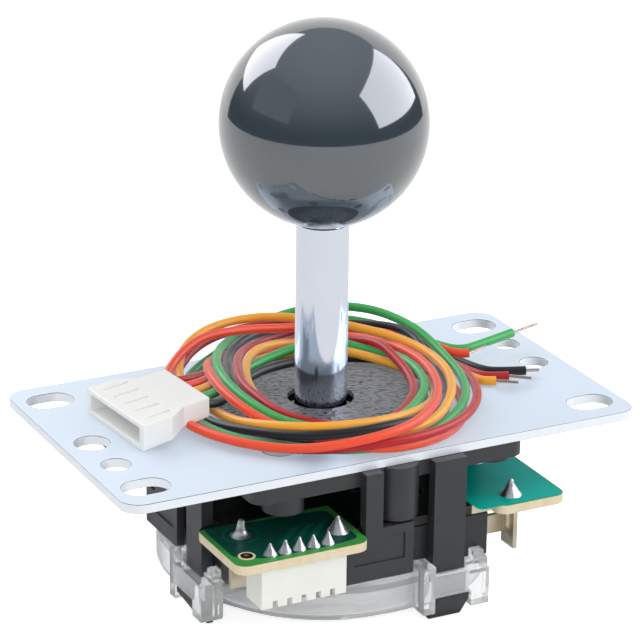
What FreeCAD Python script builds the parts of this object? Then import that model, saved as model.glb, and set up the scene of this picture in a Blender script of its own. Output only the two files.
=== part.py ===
import FreeCAD, Part
import math
import os
import re
import Sketcher

# Arcade joystick lever with four microswitches, a clear gate and a coiled wire lead.
# The origin is on the lever's axis in the mounting plate's top face.
# X runs along the plate, Y runs away from the viewer and Z is up. Depths below the face are positive sizes.

V = FreeCAD.Vector
UP = V(0, 0, 1)

SIZES = {
    # mounting plate
    "plate_long": 95.0, "plate_wide": 53.0, "plate_thick": 1.6, "plate_corner": 3.5,
    "slot_end_inset": 6.0, "slot_side_inset": 6.5, "slot_run": 8.2, "slot_wide": 6.0,
    "end_hole_inset": 5.2, "large_hole_radius": 3.0, "small_hole_radius": 2.5, "small_hole_side": 9.9,
    "plate_bore": 13.2, "fit_gap": 0.1,
    # screws that hold the plate to the housing
    "screw_reach": 15.6, "screw_radius": 1.5, "screw_head": 2.9, "screw_long": 7.4, "screw_boss": 3.2,
    "screw_boss_depth": 9.5, "screw_slot": 0.8,
    # housing
    "slab_end_recess": 3.2, "slab_side_recess": 2.0, "slab_thick": 2.7, "slab_corner": 2.5,
    "cup_wall": 2.3, "cup_below_pivot": 6.0, "pivot_depth": 5.0, "socket_radius": 8.3,
    "arm_outer": 28.4, "arm_thick": 2.1, "root_lap": 2.3,
    "claw_start": 6.8, "claw_wide": 6.0, "hook_reach": 1.8, "hook_gap": 0.2, "hook_face": 1.0, "claw_depth": 30.6,
    "tip_slope": 1.0,
    "post_start": -6.0, "post_wide": 3.2, "post_gap": 0.6,
    "skirt_lap": 3.6, "skirt_side_gap": 1.2, "skirt_foot_gap": 0.2, "skirt_thick": 1.4,
    "panel_border": 1.6, "panel_foot": 3.0, "panel_recess": 0.3,
    "boss_along": 1.5, "boss_radius": 3.7, "boss_gap": 1.0,
    "stop_along": -18.5, "stop_radius": 3.5, "stop_depth": 7.0,
    # pivot, seat, spring and actuator
    "ball_joint_radius": 7.0, "ball_joint_top": 3.5, "ball_joint_foot": 4.0, "ball_gap": 0.12,
    "bushing_gap": 0.15, "bushing_top": 2.0, "bushing_foot": 3.6,
    "seat_recess": 1.6, "seat_thick": 0.9, "seat_collar": 0.5, "collar_gap": 0.1, "collar_wall": 0.35,
    "spring_radius": 6.0, "spring_wire": 0.55, "spring_turns": 3.5, "spring_steps": 16, "spring_sides": 8,
    "pocket_gap": 0.4, "pocket_wall": 0.65, "pocket_deep": 3.9, "pocket_floor": 2.9, "seat_clearance": 1.7,
    "nose_long": 7.0, "actuator_chamfer": 1.0, "sleeve_drop": 1.0, "sleeve_gap": 1.05, "spring_gap": 0.05,
    "collar_radius": 5.5,
    # shaft and ball
    "shaft_radius": 4.5, "stem_radius": 3.0, "stem_gap": 0.05, "shaft_tail": 1.3, "shaft_chamfer": 0.4,
    "thread_long": 12.6, "driver_slot": 1.0, "driver_slot_deep": 1.4,
    "knob_radius": 17.5, "knob_height": 49.6, "insert_radius": 5.0, "insert_long": 14.2,
    "washer_thick": 0.5, "washer_radius": 5.2, "clip_thick": 0.8, "clip_radius": 5.0, "groove_deep": 0.6,
    "clip_mouth": 3.2, "dust_radius": 18.5, "dust_gap": 1.3, "dust_thick": 1.0,
    # circuit board with its header and joints
    "board_depth": 12.0, "board_thick": 1.6, "board_bore": 12.5, "board_gap": 0.4, "board_corner": 2.2,
    "left_lobe_reach": 4.4, "front_lobe_reach": 5.3, "left_lobe_end": 6.4, "left_lobe_back": 14.2,
    "right_lobe_reach": 6.6, "small_lobe_reach": 2.7, "lobe_start": 19.2, "lobe_end": 6.6,
    "header_left": 26.0, "header_long": 15.4, "header_inset": 0.6, "header_deep": 5.75, "header_high": 7.0,
    "header_wall": 0.8, "header_roof": 1.6, "pin_pitch": 2.6, "pin_half": 0.32, "pin_inset": 2.0, "pin_long": 5.0,
    "joint_radius": 1.9, "joint_high": 3.0, "joint_tip": 0.45, "pin_joint_radius": 1.15, "pin_joint_high": 2.2,
    "pin_joint_tip": 0.3, "via_radius": 0.6, "via_side_inset": 3.1, "via_front_inset": 3.7, "key_half": 0.45,
    "key_high": 1.2,
    # switches
    "case_start": -9.0, "case_long": 27.6, "case_gap": 0.2, "case_deep": 14.7, "case_high": 7.7,
    "case_hole_inset": 2.8, "case_hole_back": 3.2, "case_hole_radius": 1.6, "case_corner": 0.5,
    "hinge_inset": 1.8, "barrel_radius": 0.6, "lever_lift": 2.0, "lever_thick": 0.4,
    "lever_end": -5.0, "lever_inset": 2.1, "lever_high": 3.4, "lever_gap": 0.2,
    "plunger_along": 6.5, "plunger_half": 1.0, "plunger_tall": 3.0, "plunger_long": 4.5, "plunger_gap": 0.12,
    "plunger_bore": 0.7, "hinge_slack": 1.4,
    "blade_thick": 0.8, "blade_inset": 3.5, "blade_wide": 4.0, "blade_below_top": 0.7, "blade_high": 6.8,
    "blade_slot_wide": 1.2, "blade_slot_high": 3.0, "lug_half": 0.7, "near_lug_inset": 0.9,
    "front_terminal_long": 5.0, "side_terminal_long": 3.1, "left_terminal_long": 1.3,
    # clear gate
    "frame_recess": 0.2, "frame_corner": 3.0, "frame_wall": 1.6, "floor_thick": 1.9,
    "rim_high": 0.7, "frame_deep": 4.0, "ring_outer": 23.0, "ring_wall": 2.0, "ring_drop": 2.8,
    "lip_wide": 1.6, "lip_thick": 0.8, "claw_clearance": 0.45, "bar_gap": 0.35, "bar_thick": 1.55,
    "bar_high": 3.8, "bar_drop": 2.0, "near_block_wide": 2.6, "near_block_rise": 1.9, "far_block_wide": 3.8,
    "block_drop": 0.8, "tab_wide": 2.0, "tab_high": 2.3, "peg_gap": 0.15, "peg_high": 4.0,
    "gate_half": 8.2, "guide_wall": 1.6, "guide_gap": 0.2, "disc_thick": 1.8, "disc_gap": 0.2,
    "gate_corner": 1.5, "disc_hole": 2.2, "disc_hole_reach": 15.0,
    # wire lead
    "plug_along": -37.3, "plug_side": 2.2, "plug_turn": 5.3, "plug_long": 14.0, "plug_half": 9.7,
    "plug_rear_half": 7.4, "plug_flange": 5.6, "plug_taper": 9.0, "plug_front_high": 4.8, "plug_rear_low": 2.6,
    "plug_rear_high": 6.1,
    "plug_wall": 1.4, "socket_deep": 6.5, "socket_low": 1.0, "socket_high": 3.9, "slit_pitch": 3.6,
    "slit_wide": 0.5, "slit_long": 4.5, "slit_inset": 2.0, "contact_half": 0.6, "contact_low": 2.0,
    "contact_high": 2.8, "contact_long": 3.0,
    "coil_inner": 13.8, "coil_outer": 28.4, "coil_shift": 1.6, "coil_step": 22.3, "coil_low": 1.6, "coil_high": 6.2,
    "coil_open_from": 145.0, "coil_open_to": 210.0, "coil_recess": 0.4, "wire_radius": 0.8, "strand_radius": 0.3,
    # how far a cutting shape runs past the face that it leaves
    "past": 1.0,
}

# Places and depths that follow from the sizes above, so that neighbours keep together when one is changed.
FOLLOWING = {
    # mounting plate
    "slot_spacing_long": "plate_long - 2 * slot_end_inset", "slot_spacing_wide": "plate_wide - 2 * slot_side_inset",
    "end_hole_reach": "plate_long / 2 - end_hole_inset",
    # housing, outwards from the lever
    "slab_half_long": "arm_outer - slab_end_recess", "slab_half_wide": "arm_outer - slab_side_recess",
    "cup_radius": "socket_radius + cup_wall", "arm_inner": "arm_outer - arm_thick",
    "root_inner": "arm_inner - root_lap", "hook_out": "arm_outer + hook_reach", "tip_out": "arm_outer - tip_slope",
    "skirt_inner": "arm_outer - skirt_thick", "boss_out": "arm_outer - boss_radius",
    "stop_out": "slab_half_wide - stop_radius",
    "skirt_start": "post_start - skirt_lap", "skirt_end": "near_block - skirt_side_gap",
    # switch cases, levers and terminals
    "case_end": "case_start + case_long", "case_back": "arm_inner - case_gap", "case_front": "case_back - case_deep",
    "case_hole_out": "case_back - case_hole_back", "hinge_along": "case_end - hinge_inset",
    "hinge_out": "case_front + barrel_radius", "lever_inner": "case_front - lever_lift",
    "near_blade": "case_start - blade_thick", "near_lug_out": "case_back - near_lug_inset",
    "blade_inner": "case_back - blade_inset", "front_reach": "case_end + front_terminal_long",
    "side_reach": "case_end + side_terminal_long", "left_reach": "case_end + left_terminal_long",
    # circuit board
    "board_edge": "arm_inner - board_gap", "small_lobe": "board_edge + small_lobe_reach",
    "left_lobe_side": "board_edge + left_lobe_reach", "left_lobe_front": "board_edge + front_lobe_reach",
    "right_lobe_side": "board_edge + right_lobe_reach", "right_lobe_front": "board_edge + small_lobe_reach",
    "header_front": "left_lobe_front - header_inset", "pin_front": "header_front - pin_inset",
    "via_along": "left_lobe_side - via_side_inset", "via_out": "left_lobe_front - via_front_inset",
    # clear gate
    "frame_half": "arm_outer - frame_recess", "ring_inner": "ring_outer - ring_wall",
    "lip_radius": "ring_inner - lip_wide", "disc_radius": "ring_inner - disc_gap",
    "bar_inner": "arm_outer + bar_gap", "bar_outer": "bar_inner + bar_thick",
    "near_block": "claw_start - near_block_wide", "far_block": "claw_start + claw_wide + far_block_wide",
    "tab_start": "far_block - tab_wide", "peg_radius": "case_hole_radius - peg_gap",
    # pivot, spring, actuator and shaft
    "bushing_radius": "socket_radius - bushing_gap", "seat_radius": "cup_radius - seat_recess",
    "seat_collar_radius": "spring_radius - spring_wire - collar_gap", "seat_bore": "seat_collar_radius - collar_wall",
    "pocket_radius": "spring_radius + spring_wire + pocket_gap", "actuator_radius": "pocket_radius + pocket_wall",
    "sleeve_radius": "spring_radius - spring_wire - sleeve_gap", "groove_radius": "stem_radius - groove_deep",
    "dust_bore": "shaft_radius + dust_gap", "socket_half": "plug_half - plug_wall",
    # depths, from the pivot down to the shaft's foot
    "cup_depth": "pivot_depth + cup_below_pivot", "actuator_top": "cup_depth + seat_thick + seat_clearance",
    "pocket_depth": "actuator_top + pocket_deep", "actuator_shoulder": "pocket_depth + pocket_floor",
    "actuator_foot": "actuator_shoulder + nose_long",
    "shaft_foot": "actuator_foot + washer_thick + clip_thick + shaft_tail",
    # depths, from the board down to the gate
    "post_depth": "board_depth - post_gap", "boss_depth": "board_depth - boss_gap",
    "case_top": "board_depth + board_thick + fit_gap", "case_foot": "case_top + case_high",
    "skirt_shoulder": "case_top + fit_gap", "skirt_depth": "rim_top - skirt_foot_gap",
    "lever_top": "case_top + lever_inset", "lever_foot": "lever_top + lever_high",
    "blade_top": "case_top + blade_below_top", "blade_foot": "blade_top + blade_high",
    "pin_foot": "board_depth + board_thick + pin_long",
    "floor_top": "case_foot + fit_gap", "rim_top": "floor_top - rim_high", "floor_foot": "floor_top + floor_thick",
    "frame_foot": "floor_foot + frame_deep", "ring_foot": "frame_foot + ring_drop",
    "lip_top": "ring_foot - lip_thick", "disc_foot": "lip_top - fit_gap", "disc_top": "disc_foot - disc_thick",
    "guide_top": "floor_foot + guide_gap",
    "bar_foot": "floor_foot + bar_drop", "bar_top": "bar_foot - bar_high", "hook_depth": "bar_foot + hook_gap",
    "near_block_top": "bar_top - near_block_rise", "block_foot": "frame_foot + block_drop",
    "tab_top": "bar_top - tab_high",
}

os.makedirs("parts", exist_ok=True)
doc = FreeCAD.newDocument("joystick_lever")
sheet = doc.addObject("Spreadsheet::Sheet", "sizes")
NAMED = {**SIZES, **FOLLOWING}
for row, alias in enumerate(NAMED, start=1):
    sheet.set("A%d" % row, alias)
    sheet.setAlias("B%d" % row, alias)
for row, value in enumerate(NAMED.values(), start=1):
    sheet.set("B%d" % row, "=%s" % value)
doc.recompute()

NODES = []


def formula(text):
    """The text as an expression, with each size's name pointing to the sheet."""
    return re.sub(r"[a-z_]+", lambda found: "sizes." * (found.group() in NAMED) + found.group(), str(text))


def number(text):
    """The value that a formula has now."""
    return float(sheet.evalExpression(formula(text)))


def keep(thing, label, quarter=0):
    """Name a finished sub-part, turned by that many quarter turns about the lever's axis."""
    thing.Label = label
    if quarter:
        thing.Placement = FreeCAD.Placement(V(), FreeCAD.Rotation(UP, 90 * quarter))
    NODES.append(thing)
    return thing


def origin_of(body, role):
    return [item for item in body.Origin.OriginFeatures if item.Role == role][0]


def new_body(name):
    return doc.addObject("PartDesign::Body", name + "_body")


def sketch_on(body, role, offset=0):
    """A sketch on one of the body's own planes, moved along the plane's normal."""
    sketch = body.newObject("Sketcher::SketchObject", body.Name + "_sketch")
    sketch.AttachmentSupport = [(origin_of(body, role), "")]
    sketch.MapMode = "FlatFace"
    sketch.setExpression(".AttachmentOffset.Base.z", formula(offset))
    return sketch


def bind(sketch, kind, where, text):
    place = sketch.addConstraint(Sketcher.Constraint(kind, *where, number(text)))
    sketch.setExpression("Constraints[%d]" % place, formula(text))


def outline(sketch, corners):
    """A closed outline of straight edges through corners, which are pairs of formulas."""
    first = sketch.GeometryCount
    spots = [V(number(a), number(b), 0) for a, b in corners]
    count = len(spots)
    for i in range(count):
        sketch.addGeometry(Part.LineSegment(spots[i], spots[(i + 1) % count]), False)
    for i in range(count):
        sketch.addConstraint(Sketcher.Constraint("Coincident", first + i, 2, first + (i + 1) % count, 1))
    for i, (a, b) in enumerate(corners):
        bind(sketch, "DistanceX", (-1, 1, first + i, 1), a)
        bind(sketch, "DistanceY", (-1, 1, first + i, 1), b)


def rectangle(sketch, left, right, low, high):
    outline(sketch, [(left, low), (right, low), (right, high), (left, high)])


def circle(sketch, radius, along="0", side="0"):
    centre = V(number(along), number(side), 0)
    place = sketch.addGeometry(Part.Circle(centre, V(0, 0, 1), number(radius)), False)
    bind(sketch, "DistanceX", (-1, 1, place, 3), along)
    bind(sketch, "DistanceY", (-1, 1, place, 3), side)
    bind(sketch, "Radius", (place,), radius)


def slot(sketch, along, side, run, wide):
    """A slot that is long along X: two straight sides and two round ends."""
    x, y, half, radius = number(along), number(side), number("(%s - %s) / 2" % (run, wide)), number(wide) / 2
    first = sketch.GeometryCount
    left, right = V(x - half, y, 0), V(x + half, y, 0)
    rise = V(0, radius, 0)
    sketch.addGeometry(Part.LineSegment(left - rise, right - rise), False)
    sketch.addGeometry(Part.ArcOfCircle(Part.Circle(right, UP, radius), -math.pi / 2, math.pi / 2), False)
    sketch.addGeometry(Part.LineSegment(right + rise, left + rise), False)
    sketch.addGeometry(Part.ArcOfCircle(Part.Circle(left, UP, radius), math.pi / 2, 3 * math.pi / 2), False)
    for i in range(4):
        sketch.addConstraint(Sketcher.Constraint("Coincident", first + i, 2, first + (i + 1) % 4, 1))
    reach = "(%s - %s) / 2" % (run, wide)
    for edge, a, b in ((first, "-", "-"), (first + 1, "+", "-"), (first + 2, "+", "+"), (first + 3, "-", "+")):
        bind(sketch, "DistanceX", (-1, 1, edge, 1), "%s %s %s" % (along, a, reach))
        bind(sketch, "DistanceY", (-1, 1, edge, 1), "%s %s %s / 2" % (side, b, wide))
    bind(sketch, "DistanceX", (-1, 1, first + 1, 3), "%s + %s" % (along, reach))
    bind(sketch, "DistanceX", (-1, 1, first + 3, 3), "%s - %s" % (along, reach))


def pad(body, sketch, length, reverse=False):
    feature = body.newObject("PartDesign::Pad", body.Name + "_pad")
    feature.Profile = sketch
    feature.Reversed = reverse
    feature.setExpression("Length", formula(length))
    return feature


def pocket(body, sketch, length=None, reverse=False):
    """A pocket of that length, or one through the whole piece."""
    feature = body.newObject("PartDesign::Pocket", body.Name + "_pocket")
    feature.Profile = sketch
    feature.Reversed = reverse
    if length is None:
        feature.Type = "ThroughAll"
        feature.Midplane = True
    else:
        feature.setExpression("Length", formula(length))
    return feature


def block(body, left, right, low, high, top, foot):
    """A pad with a rectangular plan between two depths below the plate's top face."""
    sketch = sketch_on(body, "XY_Plane", "-(%s)" % foot)
    rectangle(sketch, left, right, low, high)
    return pad(body, sketch, "%s - (%s)" % (foot, top))


def sunk(body, left, right, low, high, top, foot):
    """A pocket with a rectangular plan between two depths below the plate's top face."""
    sketch = sketch_on(body, "XY_Plane", "-(%s)" % top)
    rectangle(sketch, left, right, low, high)
    return pocket(body, sketch, "%s - (%s)" % (foot, top))


def drum(body, radius, top, foot, along="0", side="0"):
    sketch = sketch_on(body, "XY_Plane", "-(%s)" % foot)
    circle(sketch, radius, along, side)
    return pad(body, sketch, "%s - (%s)" % (foot, top))


def bored(body, radius, top, foot, along="0", side="0"):
    sketch = sketch_on(body, "XY_Plane", "-(%s)" % top)
    circle(sketch, radius, along, side)
    return pocket(body, sketch, "%s - (%s)" % (foot, top))


def four_fold(body, features):
    """Repeat features at the four sides of the lever."""
    pattern = body.newObject("PartDesign::PolarPattern", body.Name + "_pattern")
    pattern.Originals = features
    pattern.Axis = (origin_of(body, "Z_Axis"), [""])
    pattern.Angle = 360
    pattern.Occurrences = 4
    body.Tip = pattern
    return pattern


def turned_body(name, profile):
    """A body of revolution about the lever's axis. The profile's corners are radius and height."""
    body = new_body(name)
    sketch = sketch_on(body, "XZ_Plane")
    outline(sketch, profile)
    feature = body.newObject("PartDesign::Revolution", name + "_turned")
    feature.Profile = sketch
    feature.ReferenceAxis = (origin_of(body, "Z_Axis"), [""])
    feature.Angle = 360
    return body


def upright_edges(shape, test):
    """The names of the straight edges along Z whose middle passes the test."""
    names = []
    for i, edge in enumerate(shape.Edges, start=1):
        ends = [vertex.Point for vertex in edge.Vertexes]
        if len(ends) != 2 or ends[0].distanceToLine(ends[1], UP) > 1e-6:
            continue
        middle = (ends[0] + ends[1]) / 2
        if test(middle):
            names.append("Edge%d" % i)
    return names


def rounded(body, radius, test):
    """Round the upright edges that pass the test."""
    doc.recompute()
    base = body.Tip
    feature = body.newObject("PartDesign::Fillet", body.Name + "_round")
    feature.Base = (base, upright_edges(base.Shape, test))
    feature.setExpression("Radius", formula(radius))
    return feature


def cylinder(name, radius, top, foot, along="0", side="0"):
    thing = doc.addObject("Part::Cylinder", name)
    thing.setExpression("Radius", formula(radius))
    thing.setExpression("Height", formula("%s - (%s)" % (foot, top)))
    thing.setExpression(".Placement.Base.x", formula(along))
    thing.setExpression(".Placement.Base.y", formula(side))
    thing.setExpression(".Placement.Base.z", formula("-(%s)" % foot))
    return thing


def cone(name, foot_radius, top_radius, top, foot, along="0", side="0"):
    thing = doc.addObject("Part::Cone", name)
    thing.setExpression("Radius1", formula(foot_radius))
    thing.setExpression("Radius2", formula(top_radius))
    thing.setExpression("Height", formula("%s - (%s)" % (foot, top)))
    thing.setExpression(".Placement.Base.x", formula(along))
    thing.setExpression(".Placement.Base.y", formula(side))
    thing.setExpression(".Placement.Base.z", formula("-(%s)" % foot))
    return thing


def box(name, left, right, low, high, top, foot):
    thing = doc.addObject("Part::Box", name)
    thing.setExpression("Length", formula("%s - (%s)" % (right, left)))
    thing.setExpression("Width", formula("%s - (%s)" % (high, low)))
    thing.setExpression("Height", formula("%s - (%s)" % (foot, top)))
    thing.setExpression(".Placement.Base.x", formula(left))
    thing.setExpression(".Placement.Base.y", formula(low))
    thing.setExpression(".Placement.Base.z", formula("-(%s)" % foot))
    return thing


def sphere(name, radius, centre_depth, foot=None, top=None):
    """A ball, or the zone of one between two heights that are measured from its centre."""
    thing = doc.addObject("Part::Sphere", name)
    thing.setExpression("Radius", formula(radius))
    if foot is not None:
        thing.setExpression("Angle1", formula("-asin(%s / %s)" % (foot, radius)))
        thing.setExpression("Angle2", formula("asin(%s / %s)" % (top, radius)))
    thing.setExpression(".Placement.Base.z", formula("-(%s)" % centre_depth))
    return thing


def less(name, base, tool):
    thing = doc.addObject("Part::Cut", name)
    thing.Base = base
    thing.Tool = tool
    return thing


def joined(name, pieces):
    """Several pieces as one object. Pieces that don't touch stay separate solids."""
    thing = doc.addObject("Part::MultiFuse", name)
    thing.Shapes = pieces
    return thing


def mounting_plate():
    body = new_body("mounting_plate")
    sketch = sketch_on(body, "XY_Plane", "-plate_thick")
    rectangle(sketch, "-plate_long / 2", "plate_long / 2", "-plate_wide / 2", "plate_wide / 2")
    pad(body, sketch, "plate_thick")
    rounded(body, "plate_corner", lambda spot: True)
    holes = sketch_on(body, "XY_Plane")
    circle(holes, "plate_bore")
    for a in ("-", ""):
        for b in ("-", ""):
            slot(holes, a + "slot_spacing_long / 2", b + "slot_spacing_wide / 2", "slot_run", "slot_wide")
    circle(holes, "large_hole_radius", "-end_hole_reach", "0")
    circle(holes, "small_hole_radius", "end_hole_reach", "0")
    circle(holes, "small_hole_radius", "-end_hole_reach", "-small_hole_side")
    circle(holes, "small_hole_radius", "end_hole_reach", "small_hole_side")
    pocket(body, holes)
    seats = []
    for a in ("-", ""):
        for b in ("-", ""):
            seats.append(cone("screw_seat", "screw_radius + fit_gap", "screw_head + fit_gap", "0", "plate_thick",
                              a + "screw_reach", b + "screw_reach"))
    return keep(less("drilled_plate", body, joined("screw_seats", seats)), "mounting_plate")


def plate_screws():
    pieces = []
    for a in ("-", ""):
        for b in ("-", ""):
            x, y = a + "screw_reach", b + "screw_reach"
            head = cone("screw_head_cone", "screw_radius", "screw_head", "0", "plate_thick", x, y)
            shank = cylinder("screw_shank", "screw_radius", "plate_thick", "plate_thick + screw_long", x, y)
            cross = [
                box("screw_cross", x + " - screw_radius", x + " + screw_radius", y + " - screw_slot / 2",
                    y + " + screw_slot / 2", "0", "plate_thick / 2"),
                box("screw_cross", x + " - screw_slot / 2", x + " + screw_slot / 2", y + " - screw_radius",
                    y + " + screw_radius", "0", "plate_thick / 2"),
            ]
            pieces.append(less("screw", joined("screw_form", [head, shank]), joined("screw_drive", cross)))
    return keep(joined("screws", pieces), "plate_screws")


def housing():
    body = new_body("housing")
    block(body, "-slab_half_long", "slab_half_long", "-slab_half_wide", "slab_half_wide", "plate_thick",
          "plate_thick + slab_thick")
    rounded(body, "slab_corner", lambda spot: True)
    drum(body, "plate_bore - fit_gap", "fit_gap", "plate_thick")
    drum(body, "cup_radius", "plate_thick + slab_thick", "cup_depth")
    claw = sketch_on(body, "YZ_Plane", "claw_start")
    outline(claw, [
        ("-root_inner", "-plate_thick"), ("-arm_outer", "-plate_thick"), ("-arm_outer", "-hook_depth"),
        ("-hook_out", "-hook_depth"), ("-hook_out", "-hook_depth - hook_face"), ("-tip_out", "-claw_depth"),
        ("-arm_inner", "-claw_depth"), ("-arm_inner", "-plate_thick - slab_thick"),
        ("-root_inner", "-plate_thick - slab_thick"),
    ])
    claw_pad = pad(body, claw, "claw_wide")
    post = block(body, "post_start", "post_start + post_wide", "-arm_outer", "-arm_inner", "plate_thick",
                 "post_depth")
    post_root = block(body, "post_start", "post_start + post_wide", "-arm_inner", "-root_inner", "plate_thick",
                      "plate_thick + slab_thick")
    skirt = sketch_on(body, "XZ_Plane", "skirt_inner")
    outline(skirt, [
        ("post_start", "-post_depth"), ("skirt_end", "-post_depth"), ("skirt_end", "-skirt_depth"),
        ("skirt_start", "-skirt_depth"), ("skirt_start", "-skirt_shoulder"), ("post_start", "-skirt_shoulder"),
    ])
    skirt_pad = pad(body, skirt, "arm_outer - skirt_inner")
    boss = drum(body, "boss_radius", "plate_thick", "boss_depth", "boss_along", "-boss_out")
    stop = drum(body, "stop_radius", "plate_thick + slab_thick", "stop_depth", "stop_along", "-stop_out")
    screw_boss = drum(body, "screw_boss", "plate_thick + slab_thick", "screw_boss_depth", "screw_reach",
                      "-screw_reach")
    four_fold(body, [claw_pad, post, post_root, skirt_pad, boss, stop, screw_boss])
    panel = sketch_on(body, "XZ_Plane", "arm_outer")
    outline(panel, [
        ("post_start + post_wide", "-post_depth - panel_border"),
        ("skirt_end - panel_border", "-post_depth - panel_border"),
        ("skirt_end - panel_border", "-skirt_depth + panel_foot"),
        ("skirt_start + panel_border", "-skirt_depth + panel_foot"),
        ("skirt_start + panel_border", "-skirt_shoulder - panel_border"),
        ("post_start + post_wide", "-skirt_shoulder - panel_border"),
    ])
    panel_pocket = pocket(body, panel, "panel_recess")
    screw_hole = bored(body, "screw_radius", "plate_thick", "plate_thick + screw_long", "screw_reach", "-screw_reach")
    four_fold(body, [panel_pocket, screw_hole])
    throat = cylinder("pivot_throat", "socket_radius", "-plate_thick", "pivot_depth")
    cup = sphere("pivot_socket", "socket_radius", "pivot_depth")
    return keep(less("socketed_housing", body, joined("pivot_hollow", [throat, cup])), "housing")


def dust_washer():
    body = new_body("dust_washer")
    sketch = sketch_on(body, "XY_Plane")
    circle(sketch, "dust_radius")
    circle(sketch, "dust_bore")
    pad(body, sketch, "dust_thick")
    return keep(body, "dust_washer")


def pivot_pieces():
    """The bushing that tilts sideways in the socket and the bored ball that tilts in it."""
    shell = sphere("bushing_outside", "bushing_radius", "pivot_depth", "bushing_foot", "bushing_top")
    hollow = sphere("bushing_inside", "ball_joint_radius + ball_gap", "pivot_depth")
    keep(less("bushing", shell, hollow), "pivot_bushing")
    ball = sphere("joint_ball", "ball_joint_radius", "pivot_depth", "ball_joint_foot", "ball_joint_top")
    bore = cylinder("joint_bore", "stem_radius + stem_gap", "0", "pivot_depth + ball_joint_radius")
    keep(less("bored_ball", ball, bore), "pivot_ball")


def spring_seat():
    top, thick = "-cup_depth", "seat_thick"
    profile = [
        ("seat_bore", top), ("seat_radius", top), ("seat_radius", top + " - " + thick),
        ("seat_collar_radius", top + " - " + thick), ("seat_collar_radius", top + " - " + thick + " - seat_collar"),
        ("seat_bore", top + " - " + thick + " - seat_collar"),
    ]
    return keep(turned_body("spring_seat", profile), "spring_seat")


def centring_spring():
    """A wire wound between the seat and the actuator's pocket, in short straight runs."""
    low = number("-pocket_depth + spring_wire + spring_gap")
    rise = number("-cup_depth - seat_thick - spring_wire - spring_gap") - low
    runs = round(number("spring_turns * spring_steps"))
    sides = round(number("spring_sides"))
    coil_radius, wire_radius = number("spring_radius"), number("spring_wire")
    sections = []
    for run in range(runs + 1):
        turn = 2 * math.pi * run / number("spring_steps")
        outward = V(math.cos(turn), math.sin(turn), 0)
        centre = outward * coil_radius + UP * (low + rise * run / runs)
        corners = []
        for side in range(sides):
            angle = 2 * math.pi * side / sides
            corners.append(centre + outward * wire_radius * math.cos(angle) + UP * wire_radius * math.sin(angle))
        sections.append(Part.makePolygon(corners + corners[:1]))
    thing = doc.addObject("Part::Feature", "centring_spring")
    thing.Shape = Part.makeLoft(sections, True, True)
    return keep(thing, "centring_spring")


def actuator():
    profile = [
        ("stem_radius + stem_gap", "-actuator_foot"), ("collar_radius", "-actuator_foot"),
        ("collar_radius", "-actuator_shoulder - actuator_chamfer"), ("actuator_radius", "-actuator_shoulder"),
        ("actuator_radius", "-actuator_top"), ("pocket_radius", "-actuator_top"), ("pocket_radius", "-pocket_depth"),
        ("sleeve_radius", "-pocket_depth"), ("sleeve_radius", "-actuator_top - sleeve_drop"),
        ("stem_radius + stem_gap", "-actuator_top - sleeve_drop"),
    ]
    return keep(turned_body("actuator", profile), "actuator")


def shaft():
    knob_flat = "knob_height - sqrt(knob_radius ^ 2 - insert_radius ^ 2)"
    groove_top = "-actuator_foot - washer_thick"
    groove_foot = groove_top + " - clip_thick"
    shoulder = "-pivot_depth + ball_joint_top + stem_gap"
    profile = [
        ("0", "-shaft_foot"), ("stem_radius - shaft_chamfer", "-shaft_foot"),
        ("stem_radius", "-shaft_foot + shaft_chamfer"), ("stem_radius", groove_foot),
        ("groove_radius", groove_foot), ("groove_radius", groove_top),
        ("stem_radius", groove_top), ("stem_radius", shoulder), ("shaft_radius", shoulder),
        ("shaft_radius", knob_flat + " - shaft_chamfer"), ("shaft_radius - shaft_chamfer", knob_flat),
        ("stem_radius", knob_flat), ("stem_radius", knob_flat + " + thread_long"),
        ("0", knob_flat + " + thread_long"),
    ]
    body = turned_body("shaft", profile)
    notch = sketch_on(body, "XY_Plane", "-shaft_foot")
    rectangle(notch, "-stem_radius - past", "stem_radius + past", "-driver_slot / 2", "driver_slot / 2")
    pocket(body, notch, "driver_slot_deep", reverse=True)
    return keep(body, "shaft")


def ball_top():
    ball = sphere("knob_ball", "knob_radius", "-knob_height")
    rise = "sqrt(knob_radius ^ 2 - insert_radius ^ 2)"
    bore = cylinder("knob_bore", "insert_radius", "-knob_height + " + rise + " - insert_long",
                    "-knob_height + knob_radius + past")
    keep(less("bored_knob", ball, bore), "ball_top")
    sleeve = cylinder("insert_sleeve", "insert_radius", "-knob_height + " + rise + " - insert_long",
                      "-knob_height + " + rise)
    thread = cylinder("insert_thread", "stem_radius + stem_gap", "-knob_height + " + rise + " - thread_long",
                      "-knob_height + " + rise + " + past")
    keep(less("ball_insert_form", sleeve, thread), "ball_insert")


def shaft_clip():
    washer = turned_body("thrust_washer", [
        ("stem_radius + stem_gap", "-actuator_foot"), ("washer_radius", "-actuator_foot"),
        ("washer_radius", "-actuator_foot - washer_thick"),
        ("stem_radius + stem_gap", "-actuator_foot - washer_thick"),
    ])
    keep(washer, "thrust_washer")
    top, foot = "actuator_foot + washer_thick", "actuator_foot + washer_thick + clip_thick"
    clip = new_body("e_clip")
    sketch = sketch_on(clip, "XY_Plane", "-(%s)" % foot)
    circle(sketch, "clip_radius")
    circle(sketch, "groove_radius")
    pad(clip, sketch, "clip_thick")
    sunk(clip, "0", "clip_radius + past", "-clip_mouth / 2", "clip_mouth / 2", top, foot)
    keep(clip, "e_clip")


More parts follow.
